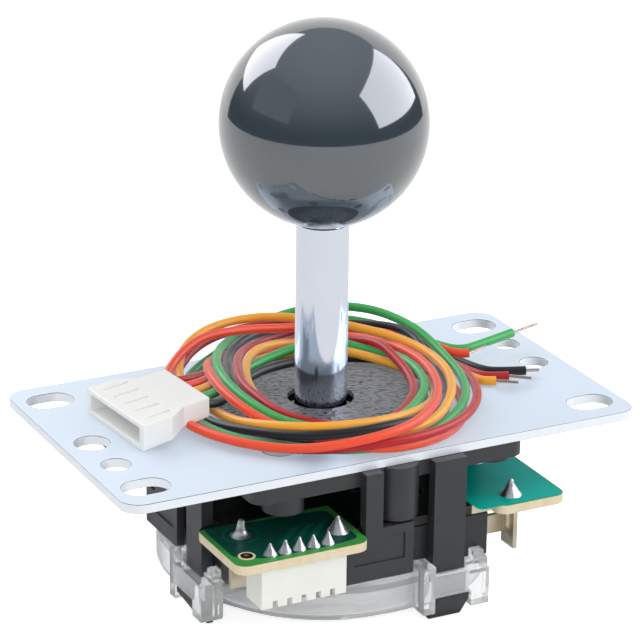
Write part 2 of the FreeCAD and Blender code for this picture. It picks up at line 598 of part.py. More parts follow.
def circuit_board():
    body = new_body("circuit_board")
    foot = "board_depth + board_thick"
    sketch = sketch_on(body, "XY_Plane", "-(%s)" % foot)
    outline(sketch, [
        ("-left_lobe_side", "-left_lobe_front"), ("-left_lobe_end", "-left_lobe_front"),
        ("-left_lobe_end", "-board_edge"), ("lobe_start", "-board_edge"), ("lobe_start", "-right_lobe_front"),
        ("right_lobe_side", "-right_lobe_front"),
        ("right_lobe_side", "-lobe_end"), ("board_edge", "-lobe_end"), ("board_edge", "lobe_start"),
        ("small_lobe", "lobe_start"), ("small_lobe", "small_lobe"), ("lobe_end", "small_lobe"),
        ("lobe_end", "board_edge"),
        ("-lobe_start", "board_edge"), ("-lobe_start", "small_lobe"), ("-small_lobe", "small_lobe"),
        ("-small_lobe", "lobe_end"), ("-board_edge", "lobe_end"), ("-board_edge", "-left_lobe_back"),
        ("-left_lobe_side", "-left_lobe_back"),
    ])
    pad(body, sketch, "board_thick")
    edge = number("board_edge + past")
    rounded(body, "board_corner", lambda spot: max(abs(spot.x), abs(spot.y)) > edge)
    bored(body, "board_bore", "board_depth", foot)
    bored(body, "via_radius", "board_depth", foot, "-via_along", "-via_out")
    return keep(body, "circuit_board")


QUARTER_TURNS = {"front": 0, "right": 1, "back": 2, "left": 3}
REACHES = {"front": "front_reach", "right": "side_reach", "back": "side_reach", "left": "left_reach"}


def switch_case(side, quarter):
    body = new_body("switch_case_" + side)
    block(body, "case_start", "case_end", "-case_back", "-case_front", "case_top", "case_foot")
    rounded(body, "case_corner", lambda spot: True)
    for along in ("case_start + case_hole_inset", "case_end - case_hole_inset"):
        bored(body, "case_hole_radius", "case_top", "case_foot", along, "-case_hole_out")
    middle = "(lever_top + lever_foot) / 2"
    sunk(body, "plunger_along - plunger_half - plunger_gap", "plunger_along + plunger_half + plunger_gap",
         "-case_front - plunger_long + plunger_bore", "-case_front + past",
         middle + " - plunger_tall / 2 - plunger_gap", middle + " + plunger_tall / 2 + plunger_gap")
    sunk(body, "hinge_along - hinge_slack", "hinge_along + past", "-hinge_out - barrel_radius - lever_gap",
         "-case_front + past",
         "lever_top - lever_gap", "lever_foot + lever_gap")
    return keep(body, "switch_case_" + side, quarter)


def switch_lever(side, quarter):
    """A bent strip of spring metal with its barrel in the case's notch."""
    body = new_body("switch_lever_" + side)
    strip = sketch_on(body, "XY_Plane", "-lever_foot")
    outline(strip, [
        ("lever_end", "-lever_inner - lever_thick"), ("lever_end", "-lever_inner"),
        ("hinge_along + lever_thick", "-lever_inner"), ("hinge_along + lever_thick", "-hinge_out"),
        ("hinge_along", "-hinge_out"), ("hinge_along", "-lever_inner - lever_thick"),
    ])
    pad(body, strip, "lever_foot - lever_top")
    drum(body, "barrel_radius", "lever_top", "lever_foot", "hinge_along", "-hinge_out")
    return keep(body, "switch_lever_" + side, quarter)


def switch_plunger(side, quarter):
    body = new_body("switch_plunger_" + side)
    middle = "(lever_top + lever_foot) / 2"
    tip = "-lever_inner - lever_thick - fit_gap"
    block(body, "plunger_along - plunger_half", "plunger_along + plunger_half", tip + " - plunger_long", tip,
          middle + " - plunger_tall / 2", middle + " + plunger_tall / 2")
    return keep(body, "switch_plunger_" + side, quarter)


def switch_terminals(side, quarter):
    """The bent blade beyond the case's far end and the straight one at its near end."""
    reach = REACHES[side]
    inner, outer = "-blade_inner", "-blade_inner - blade_wide"
    face = reach + " - blade_thick / 2"
    back = reach + " + blade_thick / 2"
    blade = box("blade", face, back, outer, inner, "blade_top", "blade_foot")
    foot = box("blade_foot_strip", "case_end", back, inner + " - blade_thick", inner, "lever_top", "lever_foot")
    lug = box("blade_lug", face, back, "-blade_inner - blade_wide / 2 - lug_half",
              "-blade_inner - blade_wide / 2 + lug_half", "board_depth", "blade_top")
    window = box("blade_window", face + " - past", back + " + past",
                 "-blade_inner - (blade_wide + blade_slot_wide) / 2",
                 "-blade_inner - (blade_wide - blade_slot_wide) / 2",
                 "blade_top + lug_half", "blade_top + lug_half + blade_slot_high")
    bent = less("bent_terminal", joined("bent_terminal_form", [blade, foot, lug]), window)
    near = box("near_terminal", "near_blade", "near_blade + blade_thick", "-near_lug_out - lug_half",
               "-near_lug_out + 2 * lug_half", "case_top", "lever_foot")
    near_lug = box("near_lug", "near_blade", "near_blade + blade_thick", "-near_lug_out - lug_half",
                   "-near_lug_out + lug_half", "board_depth", "case_top")
    straight = joined("straight_terminal", [near, near_lug])
    return keep(joined("terminals", [bent, straight]), "switch_terminals_" + side, quarter)


def header():
    """The five-way socket under the board's front lobe, open downwards, with its pins."""
    shell = new_body("header_shell")
    top, foot = "board_depth + board_thick", "board_depth + board_thick + header_high"
    left, right = "-header_left", "-header_left + header_long"
    front, back = "-header_front", "-header_front + header_deep"
    block(shell, left, right, front, back, top, foot)
    sunk(shell, left + " + header_wall", right + " - header_wall", front + " + header_wall", back + " - header_wall",
         top + " + header_roof", foot)
    for i in range(5):
        middle = "-header_left + header_long / 2 + (%d) * pin_pitch" % (i - 2)
        sunk(shell, middle + " - key_half", middle + " + key_half", front + " - past", front + " + header_wall",
             foot + " - key_high", foot)
    pins = []
    for i in range(5):
        middle = "-header_left + header_long / 2 + (%d) * pin_pitch" % (i - 2)
        pins.append(box("header_pin", middle + " - pin_half", middle + " + pin_half", "-pin_front - pin_half",
                        "-pin_front + pin_half", "board_depth", "pin_foot"))
    row = joined("header_pin_row", pins)
    keep(less("header_socket", shell, row), "header_shell")
    keep(row, "header_pins")
    return pins


def solder_joints():
    """Cones of solder on the board's top, over each terminal's lug and each header pin."""
    pieces = []
    for side, quarter in QUARTER_TURNS.items():
        lugs = ((REACHES[side], "blade_inner + blade_wide / 2"), ("near_blade + blade_thick / 2", "near_lug_out"))
        for along, out in lugs:
            a, b = along, "-(%s)" % out
            for _ in range(quarter):
                a, b = "-(%s)" % b, a
            pieces.append(cone("lug_joint", "joint_radius", "joint_tip", "board_depth - joint_high", "board_depth",
                               a, b))
    for i in range(5):
        middle = "-header_left + header_long / 2 + (%d) * pin_pitch" % (i - 2)
        pieces.append(cone("pin_joint", "pin_joint_radius", "pin_joint_tip", "board_depth - pin_joint_high",
                           "board_depth", middle, "-pin_front"))
    return keep(joined("solder", pieces), "solder_joints")


def drilled_board(board, header_pins, terminals):
    """The board with a close hole round each pin and lug, cut to their own section."""
    tools = joined("board_lugs", header_pins + terminals)
    NODES.remove(board)
    board.Label = "plain_board"
    return keep(less("drilled_board", board, tools), "circuit_board")


def gate_frame():
    body = new_body("gate_frame")
    block(body, "-frame_half", "frame_half", "-frame_half", "frame_half", "rim_top", "frame_foot")
    rounded(body, "frame_corner", lambda spot: True)
    well = "frame_half - frame_wall"
    sunk(body, "-(%s)" % well, well, "-(%s)" % well, well, "rim_top", "floor_top")
    under = sketch_on(body, "XY_Plane", "-frame_foot")
    rectangle(under, "-(%s)" % well, well, "-(%s)" % well, well)
    pocket(body, under, "frame_foot - floor_foot", reverse=True)
    drum(body, "ring_outer", "floor_foot", "ring_foot")
    opening = "-claw_clearance"
    channel = sunk(body, "claw_start " + opening, "claw_start + claw_wide + claw_clearance", "-frame_half - past",
                   "-arm_inner + claw_clearance", "rim_top", "frame_foot")
    near = block(body, "near_block", "claw_start " + opening, "-bar_outer", "-arm_inner", "near_block_top",
                 "block_foot")
    far = block(body, "claw_start + claw_wide + claw_clearance", "far_block", "-bar_outer", "-arm_inner", "bar_top",
                "block_foot")
    bar = block(body, "near_block", "far_block", "-bar_outer", "-bar_inner", "bar_top", "bar_foot")
    tab = block(body, "tab_start", "far_block", "-frame_half", "-frame_half + frame_wall", "tab_top", "bar_top")
    pegs = [drum(body, "peg_radius", "floor_top - peg_high", "floor_top", along, "-case_hole_out")
            for along in ("case_start + case_hole_inset", "case_end - case_hole_inset")]
    four_fold(body, [channel, near, far, bar, tab] + pegs)
    bored(body, "ring_inner", "rim_top", "lip_top")
    bored(body, "lip_radius", "lip_top", "ring_foot")
    return keep(body, "gate_frame")


def gate_insert():
    body = new_body("gate_insert")
    drum(body, "disc_radius", "disc_top", "disc_foot")
    wall = "gate_half + guide_wall"
    block(body, "-(%s)" % wall, wall, "-(%s)" % wall, wall, "guide_top", "disc_top")
    sunk(body, "-gate_half", "gate_half", "-gate_half", "gate_half", "guide_top", "disc_foot")
    reach = number("gate_half") + 0.01
    rounded(body, "gate_corner", lambda spot: max(abs(spot.x), abs(spot.y)) < reach)
    hole = bored(body, "disc_hole", "disc_top", "disc_foot", "disc_hole_reach", "0")
    four_fold(body, [hole])
    return keep(body, "gate_insert")


def plug_placement():
    turn = FreeCAD.Rotation(UP, number("plug_turn"))
    return FreeCAD.Placement(V(number("plug_along"), number("plug_side"), 0), turn)


def harness_connector():
    """The lead's five-way plug, its rear end raised where it lies over the wires."""
    body = new_body("harness_connector")
    plan = sketch_on(body, "XY_Plane")
    outline(plan, [
        ("0", "-plug_half"), ("plug_flange", "-plug_half"), ("plug_taper", "-plug_rear_half"),
        ("plug_long", "-plug_rear_half"), ("plug_long", "plug_rear_half"), ("plug_taper", "plug_rear_half"),
        ("plug_flange", "plug_half"), ("0", "plug_half"),
    ])
    pad(body, plan, "plug_rear_high + past")
    over = sketch_on(body, "XZ_Plane")
    outline(over, [
        ("-past", "plug_front_high"), ("0", "plug_front_high"), ("plug_long", "plug_rear_high"),
        ("plug_long + past", "plug_rear_high"), ("plug_long + past", "plug_rear_high + 2 * past"),
        ("-past", "plug_rear_high + 2 * past"),
    ])
    pocket(body, over)
    under = sketch_on(body, "XZ_Plane")
    outline(under, [
        ("-past", "fit_gap"), ("0", "fit_gap"), ("plug_long", "plug_rear_low"), ("plug_long + past", "plug_rear_low"),
        ("plug_long + past", "-past"), ("-past", "-past"),
    ])
    pocket(body, under)
    mouth = sketch_on(body, "YZ_Plane")
    rectangle(mouth, "-socket_half", "socket_half", "socket_low", "socket_high")
    pocket(body, mouth, "socket_deep", reverse=True)
    slits = sketch_on(body, "XY_Plane", "plug_rear_high + past")
    for i in range(5):
        middle = "(%d) * slit_pitch" % (i - 2)
        rectangle(slits, "slit_inset", "slit_inset + slit_long", middle + " - slit_wide / 2",
                  middle + " + slit_wide / 2")
    pocket(body, slits, "plug_rear_high + past - (plug_front_high + socket_high) / 2")
    body.Placement = plug_placement()
    keep(body, "harness_connector")
    contacts = []
    for i in range(5):
        middle = "(%d) * slit_pitch" % (i - 2)
        contacts.append(box("contact", "socket_deep - contact_long", "socket_deep", middle + " - contact_half",
                            middle + " + contact_half", "-contact_high", "-contact_low"))
    row = joined("contact_row", contacts)
    row.Placement = plug_placement()
    keep(row, "connector_contacts")


def harness_coil():
    """The outer shape of the wound wires, wider behind the shaft and lower where the plug lies over them."""
    low = cylinder("coil_low_ring", "coil_outer", "-coil_low", "-fit_gap", "0", "coil_shift")
    inner = cylinder("coil_inner_ring", "coil_step", "-coil_high", "-fit_gap")
    high = cylinder("coil_high_ring", "coil_outer", "-coil_high", "-coil_low", "0", "coil_shift")
    high.setExpression("Angle", formula("360 - coil_open_to + coil_open_from"))
    high.setExpression(".Placement.Rotation.Angle", formula("coil_open_to - 360"))
    high.Placement.Rotation.Axis = UP
    core = cylinder("coil_core", "coil_inner", "-coil_high - past", "past")
    washer_space = cylinder("coil_washer_space", "dust_radius + coil_recess", "-dust_thick - fit_gap", "past")
    form = joined("coil_form", [low, inner, high])
    return keep(less("coil", form, joined("coil_hollow", [core, washer_space])), "harness_coil")


# Each tail leaves the coil at its outer wall. The last point is the end of the insulation, then the bare tip.
TAILS = {
    "green": [(28.5, 3.8, 2.4), (34.6, 5.6, 2.7), (41.8, 7.0, 3.2), (47.6, 8.0, 3.6)],
    "orange": [(28.65, 1.9, 2.6), (30.4, 2.4, 2.9), (34.2, 3.0, 3.3)],
    "black": [(28.75, -1.2, 2.0), (32.4, -3.0, 2.3), (37.5, -5.2, 2.5), (39.7, -6.0, 2.5)],
    "red": [(28.4, -3.6, 1.7), (30.6, -4.9, 1.8), (33.5, -6.3, 1.9), (36.5, -8.9, 1.9)],
    "amber": [(27.9, -5.8, 1.3), (30.5, -7.1, 1.4), (33.6, -9.4, 1.4)],
}


def tube_path(points):
    """Straight runs joined by tangent arcs, with the arcs' radii."""
    edges, radii = [], []
    last = points[0]
    for before, corner, after in zip(points, points[1:], points[2:]):
        to_before, to_after = before - corner, after - corner
        turn = math.pi - to_before.getAngle(to_after)
        reach = 0.45 * min(to_before.Length, to_after.Length)
        radii.append(reach / math.tan(turn / 2))
        start = corner + V(to_before).normalize() * reach
        end = corner + V(to_after).normalize() * reach
        inward = (V(to_before).normalize() + V(to_after).normalize()).normalize()
        to_centre = math.hypot(radii[-1], reach)
        middle = corner + inward * (to_centre - radii[-1])
        edges.append(Part.LineSegment(last, start).toShape())
        edges.append(Part.Arc(start, middle, end).toShape())
        last = end
    edges.append(Part.LineSegment(last, points[-1]).toShape())
    return Part.Wire(edges), radii


def tube(name, points, radius):
    path, radii = tube_path(points)
    heading = (points[1] - points[0]).normalize()
    section = Part.Wire(Part.makeCircle(radius, points[0], heading))
    shape = path.makePipeShell([section], True, True)
    expected = math.pi * radius ** 2 * path.Length
    print("%s: radii %s, length %.1f, volume ratio %.4f" % (
        name, ["%.1f" % r for r in radii], path.Length, shape.Volume / expected))
    thing = doc.addObject("Part::Feature", name)
    thing.Shape = shape
    return thing


def harness_tails():
    strands = []
    for colour, route in TAILS.items():
        points = [V(*spot) for spot in route]
        keep(tube(colour + "_tail", points[:-1], number("wire_radius")), colour + "_tail")
        heading = points[-1] - points[-2]
        strand = doc.addObject("Part::Feature", colour + "_strand")
        strand.Shape = Part.makeCylinder(number("strand_radius"), heading.Length, points[-2], heading)
        strands.append(strand)
    return keep(joined("bare_strand_group", strands), "bare_strands")


mounting_plate()
plate_screws()
housing()
dust_washer()
pivot_pieces()
spring_seat()
centring_spring()
actuator()
shaft()
ball_top()
shaft_clip()
board = circuit_board()
pins = header()
terminals = []
for side, quarter in QUARTER_TURNS.items():
    switch_case(side, quarter)
    switch_lever(side, quarter)
    switch_plunger(side, quarter)
    terminals.append(switch_terminals(side, quarter))
drilled_board(board, pins, terminals)
solder_joints()
gate_frame()
gate_insert()
harness_connector()
harness_coil()
harness_tails()
doc.recompute()

faults = [thing.Name for thing in doc.Objects if "Invalid" in thing.State or "Error" in thing.State]
faults += [thing.Label for thing in NODES if thing.Shape.isNull() or not thing.Shape.isValid()]
for thing in doc.Objects:
    if thing.TypeId == "PartDesign::Pocket" and thing.Shape.Volume > thing.BaseFeature.Shape.Volume - 0.01:
        faults.append(thing.Name + " cuts nothing")
if faults:
    raise RuntimeError("failed: " + ", ".join(faults))
for thing in NODES:
    thing.Shape.exportStep(os.path.join("parts", thing.Label + ".step"))
print(len(NODES), "sub-parts written")
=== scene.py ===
# %% [markdown]
# # An arcade joystick lever
# A ball on a steel shaft tilts in a black housing below a zinc plated plate. Four switches, their board and a clear
# gate hang under it, and a five-wire lead lies in loose turns round the shaft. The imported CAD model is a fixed
# frame: every solid is already in place, in metres, with the plate's top at zero height. What is already right stays
# and gets a finish, and what needs softer edges or finer parts is replaced by a piece modelled here.

# %% Load the frame
import math
import random

import bpy
from mathutils import Matrix, Vector


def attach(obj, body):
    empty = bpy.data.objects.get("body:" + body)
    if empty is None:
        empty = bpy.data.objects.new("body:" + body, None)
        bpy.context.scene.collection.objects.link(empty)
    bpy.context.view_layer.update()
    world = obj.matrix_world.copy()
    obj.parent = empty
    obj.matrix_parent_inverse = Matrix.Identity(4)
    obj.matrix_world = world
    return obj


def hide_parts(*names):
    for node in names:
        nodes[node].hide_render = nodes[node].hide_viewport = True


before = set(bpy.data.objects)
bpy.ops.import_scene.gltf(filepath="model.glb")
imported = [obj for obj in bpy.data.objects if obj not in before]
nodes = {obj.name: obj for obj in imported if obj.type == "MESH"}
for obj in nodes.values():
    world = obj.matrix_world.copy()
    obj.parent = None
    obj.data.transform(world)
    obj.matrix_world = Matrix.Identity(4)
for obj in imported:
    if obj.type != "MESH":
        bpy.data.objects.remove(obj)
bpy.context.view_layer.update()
MM = 0.001

# %% [markdown]
# The camera stands where the photograph was taken from: in front, a little to the left, looking down at about 21
# degrees through a long lens. A long lens keeps the plate's edges almost parallel, as they are in the picture.

# %% Camera
LONG_LENS = 172.9
camera_data = bpy.data.cameras.new("camera")
camera_data.sensor_width = 36
camera_data.lens = LONG_LENS
camera_data.clip_start = 0.01
camera = bpy.data.objects.new("camera", camera_data)
bpy.context.scene.collection.objects.link(camera)
camera.matrix_world = (
    Matrix.Translation(Vector((-222.8205, -431.7272, 199.5202)) * MM)
    @ Matrix.Rotation(math.radians(-27.267), 4, "Z")
    @ Matrix.Rotation(math.radians(90 - 20.816), 4, "X")
    @ Matrix.Rotation(math.radians(0.725), 4, "Z")
)
bpy.context.scene.camera = camera
bpy.context.scene.view_settings.view_transform = "Standard"
print("camera is", round(camera.location.length / MM), "mm from the plate's middle")

# %% [markdown]
# Operators work on whatever is selected, and loading the frame leaves its pieces selected. So one small helper picks
# a single object, and another selects parts of its mesh by a test on their place, as a person would with the mouse.


# %% Helpers for picking
def pick(piece):
    """Make this the only selected object."""
    bpy.ops.object.select_all(action="DESELECT")
    piece.select_set(True)
    bpy.context.view_layer.objects.active = piece
    return piece


def edit(piece, whole=True):
    """Go into edit mode with all of the mesh selected, or none of it."""
    pick(piece)
    bpy.ops.object.mode_set(mode="EDIT")
    bpy.ops.mesh.select_all(action="SELECT" if whole else "DESELECT")


def done():
    """Leave edit mode and give back the object."""
    bpy.ops.object.mode_set(mode="OBJECT")
    return bpy.context.view_layer.objects.active


def settle(piece, name):
    """Name the piece and move its place and turn into its mesh."""
    pick(piece)
    bpy.ops.object.transform_apply(location=True, rotation=True, scale=True)
    piece.name = name
    piece.data.name = name
    return piece


def smooth(piece, degrees=35):
    """Smooth shading, with edges sharper than this angle left crisp."""
    pick(piece)
    bpy.ops.object.shade_smooth_by_angle(angle=math.radians(degrees))
    return piece


def ready(piece, body, slot, material, *replaced):
    """Give the piece its material, hang it on its body's empty and hide the CAD nodes that it replaces."""
    piece.data.materials.clear()
    piece.data.materials.append(material)
    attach(piece, body)
    if replaced:
        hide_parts(*replaced)
    return piece


# %% [markdown]
# Colours are written as the hex values that a picture editor shows, which are sRGB, and shaders want linear values.
# One function turns them. Another adds a node with its own options, its values and its links in one call. The third
# starts every finish in the same way: a colour that drifts to a second shade in soft blotches, a roughness that
# drifts with it, and a fine grain as bump. Its sizes are the real ones in millimetres.


# %% Helpers for finishes
def linear(code):
    """An sRGB hex colour as linear values."""
    parts = [int(code[i:i + 2], 16) / 255 for i in (1, 3, 5)]
    return [part / 12.92 if part <= 0.04045 else ((part + 0.055) / 1.055) ** 2.4 for part in parts] + [1.0]


def add(tree, kind, inputs=None, **options):
    """Add a node. Options are its own settings, and inputs are values or other nodes' outputs."""
    node = tree.nodes.new("ShaderNode" + kind)
    for name, value in options.items():
        setattr(node, name, value)
    for name, value in (inputs or {}).items():
        if isinstance(value, bpy.types.NodeSocket):
            tree.links.new(value, node.inputs[name])
        else:
            node.inputs[name].default_value = value
    return node


def per(size):
    """The texture scale that gives a pattern of this size in millimetres."""
    return 1 / (size * MM)


def finish(name, colour, shade, roughness, grain, depth, blotch=5.0, stretch=(1, 1, 1), metallic=0.0, **sockets):
    """A finish of two near colours with a grain that is this wide and this deep, in millimetres."""
    material = bpy.data.materials.new(name)
    material.use_nodes = True
    tree = material.node_tree
    shader = tree.nodes["Principled BSDF"]
    shader.inputs["Metallic"].default_value = metallic
    for socket, value in sockets.items():
        shader.inputs[socket.replace("_", " ").title().replace("Ior", "IOR")].default_value = value
    place = add(tree, "TexCoord").outputs["Object"]
    drawn = add(tree, "Mapping", {"Vector": place, "Scale": stretch}).outputs["Vector"]
    blotches = add(tree, "TexNoise", {"Vector": drawn, "Scale": per(blotch), "Detail": 4.0})
    colours = add(tree, "MixRGB", {"Fac": blotches.outputs["Fac"], "Color1": linear(colour), "Color2": linear(shade)})
    tree.links.new(colours.outputs["Color"], shader.inputs["Base Color"])
    gloss = add(tree, "MapRange", {"Value": blotches.outputs["Fac"], "From Min": 0.3, "From Max": 0.7,
                                   "To Min": roughness * 0.85, "To Max": roughness * 1.15})
    tree.links.new(gloss.outputs["Result"], shader.inputs["Roughness"])
    fine = add(tree, "TexNoise", {"Vector": drawn, "Scale": per(grain), "Detail": 2.0})
    bump = add(tree, "Bump", {"Height": fine.outputs["Fac"], "Distance": depth * MM, "Strength": 1.0})
    tree.links.new(bump.outputs["Normal"], shader.inputs["Normal"])
    return material


# %% [markdown]
# The plate is mild steel with a bright zinc plating under a clear blue passivate. It isn't a mirror: the rolled sheet
# shows through as a very fine grain along its length, so it gives back the room as a soft pale blue sheen. Screws and
# spring are plain steel, and the lever shaft is ground, hard chromed and polished, which mirrors all round it. The
# plate's cut edge and the narrow rolled corner above it get finishes of their own: the edge a painted highlight and
# the corner painted shade.

# %% Metal finishes
zinc = finish("bright_zinc_plate", "#dde8f3", "#d6e2ef", 0.45, 0.5, 0.002, 22, (0.15, 1, 1), 0.6)
# Painted highlight: the cut edge's zinc is whiter than the top's, though its coarser grain is real.
zinc_edge_painted_highlight = finish("zinc_on_sheared_edge_painted_highlight", "#f7faff", "#eef3f9", 0.5, 0.3, 0.006, 3, (0.3, 0.3, 1), 0.5)
# Painted shade: the rolled corner's zinc is a darker grey than the rest of the plate.
zinc_corner_painted_shade = finish("zinc_on_rolled_corner_painted_shade", "#8d959e", "#7d858e", 0.2, 0.3, 0.002, 3, metallic=1.0)
screw_steel = finish("plain_screw_steel", "#9a9ea2", "#85898d", 0.35, 0.3, 0.004, 2, metallic=1.0)
spring_steel = finish("drawn_spring_steel", "#b8babd", "#9fa2a6", 0.3, 0.25, 0.003, 2, metallic=1.0)
chrome = finish("polished_chrome", "#dfe4ed", "#d8dee8", 0.09, 0.6, 0.0002, 8, metallic=1.0)
brass = finish("turned_brass", "#cda34f", "#b98f3e", 0.3, 0.3, 0.003, 3, metallic=1.0)
tinned = finish("tinned_brass_blade", "#d9d2c2", "#bcae92", 0.32, 0.4, 0.006, 1.6, metallic=1.0)
lever_steel = finish("rolled_lever_steel", "#b4b6b8", "#a2a5a8", 0.3, 0.2, 0.002, 2, metallic=1.0)
strand_metal = finish("tinned_copper_strand", "#d8cfc4", "#b9a08c", 0.3, 0.3, 0.004, 0.6, metallic=1.0)

# Solder cools with a dull, slightly frosted skin that wrinkles towards the tip.
solder = finish("cooled_solder", "#f1f2f3", "#d3d6d9", 0.36, 0.35, 0.05, 0.8, metallic=1.0)
print("metal finishes ready, the plate's is", zinc.name)

# %% [markdown]
# The housing is moulded ABS, black with a faint blue tone and an even spark-eroded skin. Acetal, the pivot's plastic,
# is paler and waxier. The ball is a phenolic knob with a thick clear coat, so it has sharp reflections on top of a
# dark slate blue. The gate is clear polycarbonate, a little cloudy, and the plugs are natural nylon, which lets light
# a little way in.

# %% Plastic finishes
moulded = finish("spark_textured_black_abs", "#333538", "#2c2d30", 0.42, 0.16, 0.008, 6)
case_black = finish("glass_filled_black_nylon", "#2b2d32", "#222428", 0.36, 0.2, 0.006, 4)
bushing_black = finish("graphite_filled_acetal", "#26272a", "#1c1d1f", 0.38, 0.2, 0.004, 3)
acetal = finish("white_acetal", "#e4e3dc", "#d8d6cd", 0.4, 0.3, 0.004, 4)
plunger_red = finish("moulded_plunger_nylon", "#7c2a26", "#6d2320", 0.4, 0.2, 0.004, 2)
knob_slate = finish("clear_coated_slate_knob", "#333f47", "#2e3a42", 0.12, 0.5, 0.0002, 14,
                    ior=1.5, coat_weight=1.0, coat_roughness=0.015, coat_ior=2.0)
nylon = finish("natural_white_nylon", "#f4f4f1", "#eeeeea", 0.34, 0.3, 0.006, 5,
               subsurface_weight=0.35, subsurface_scale=0.0012, subsurface_radius=(1.0, 0.95, 0.85))
header_nylon = finish("white_header_nylon", "#f3f2ed", "#e9e8e2", 0.38, 0.25, 0.005, 4)
clear = finish("clear_polycarbonate", "#ffffff", "#f9fbfd", 0.07, 0.8, 0.003, 6,
               ior=1.585, transmission_weight=0.74)
print("plastic finishes ready, the housing's is", moulded.name)

# %% [markdown]
# The washer on the plate is black, pressed with a crinkled skin of short ridges, almost a millimetre long. Its mid
# grey base colour is a painted sheen of the pale room. One cell pattern does both jobs: its distances raise the
# ridges as bump, and lay painted shade along the crinkle. A second Mapping turns the pattern, so that the ridges
# don't run along the plate.

# %% Washer finish
RIDGE = {"wide": 0.62, "stretch": 0.72, "deep": 0.3, "turn": 27, "shade_from": 0.38, "shade_to": 0.72}
# The washer is black: this mid grey base stands in for the room's sheen on it, a painted sheen.
crinkle = finish("crinkled_black_washer", "#7b7d84", "#65676d", 0.36, 0.3, 0.004, 0.6, (RIDGE["stretch"], 1, 1))
tree = crinkle.node_tree
turned_place = add(tree, "Mapping", {"Vector": tree.nodes["Texture Coordinate"].outputs["Object"],
                                     "Rotation": (0, 0, math.radians(RIDGE["turn"]))})
tree.links.new(turned_place.outputs["Vector"], tree.nodes["Mapping"].inputs["Vector"])
ridges = add(tree, "TexVoronoi", {"Vector": tree.nodes["Mapping"].outputs["Vector"], "Scale": per(RIDGE["wide"])},
             feature="SMOOTH_F1")
lift = add(tree, "Bump", {"Height": ridges.outputs["Distance"], "Distance": RIDGE["deep"] * MM, "Strength": 1.0})
tree.links.new(lift.outputs["Normal"], tree.nodes["Principled BSDF"].inputs["Normal"])
# Painted shade: the crinkle is darkened where the cell distance is large.
crinkle_shade_amount = add(tree, "MapRange", {"Value": ridges.outputs["Distance"], "From Min": RIDGE["shade_from"],
                               "From Max": RIDGE["shade_to"]})
crinkle_shade = add(tree, "MixRGB", {"Fac": crinkle_shade_amount.outputs["Result"], "Color1": tree.nodes["Mix (Legacy)"].outputs["Color"],
                               "Color2": linear("#141517")})
tree.links.new(crinkle_shade.outputs["Color"], tree.nodes["Principled BSDF"].inputs["Base Color"])
print("washer ridges about", round(RIDGE["wide"] / RIDGE["stretch"], 1), "mm long")

# %% [markdown]
# The board is glass-epoxy laminate: cream at its sawn edge, and bright green under its solder mask. Where copper lies
# under the mask it is dark teal, and the lobe on the right, which faces the light, gets a much lighter teal as
# painted light. Wire insulation is PVC, dyed through and a little waxy, with a soft broad highlight. Only the five
# colours differ.

# %% Board and wire finishes
laminate = finish("sawn_glass_epoxy", "#e9dfc4", "#d9c39b", 0.6, 0.12, 0.02, 1.4, (1, 1, 0.3))
mask_green = finish("solder_mask_on_laminate", "#4da64d", "#3a9145", 0.3, 0.6, 0.004, 4, specular_ior_level=0.3)
mask_teal = finish("solder_mask_on_copper", "#0b4339", "#0f5646", 0.3, 0.6, 0.004, 3, specular_ior_level=0.3)
# Painted light: the dark teal made much lighter for the lobe that faces the lamps.
mask_teal_painted_lit = finish("solder_mask_on_copper_painted_lit", "#00bfb0", "#00ad9f", 0.32, 0.6, 0.004, 5, specular_ior_level=0.06)
mask_faint = finish("solder_mask_on_copper_faint", "#146a58", "#0f5c4d", 0.32, 0.6, 0.004, 5, specular_ior_level=0.2)
legend = finish("cream_legend_ink", "#efe6c8", "#e2d6b2", 0.5, 0.2, 0.003, 1)
rust = finish("scorched_flux", "#3a1712", "#200c0a", 0.35, 0.3, 0.01, 0.8)
copper = finish("bare_copper_barrel", "#c9876b", "#a8664c", 0.35, 0.2, 0.004, 0.6, metallic=1.0)
WIRE_COLOURS = {"red": ("#be1219", "#a80d14"), "coral": ("#f4552f", "#ea4726"), "amber": ("#f8b23a", "#f0a22c"),
                "green": ("#3fb45c", "#2f9f4c"), "black": ("#1e1f21", "#151617")}
vinyl = {name: finish(name + "_pvc_insulation", light, deep, 0.36, 0.35, 0.006, 3, subsurface_weight=0.06,
                      subsurface_scale=0.0006) for name, (light, deep) in WIRE_COLOURS.items()}
print("wire finishes:", ", ".join(vinyl))
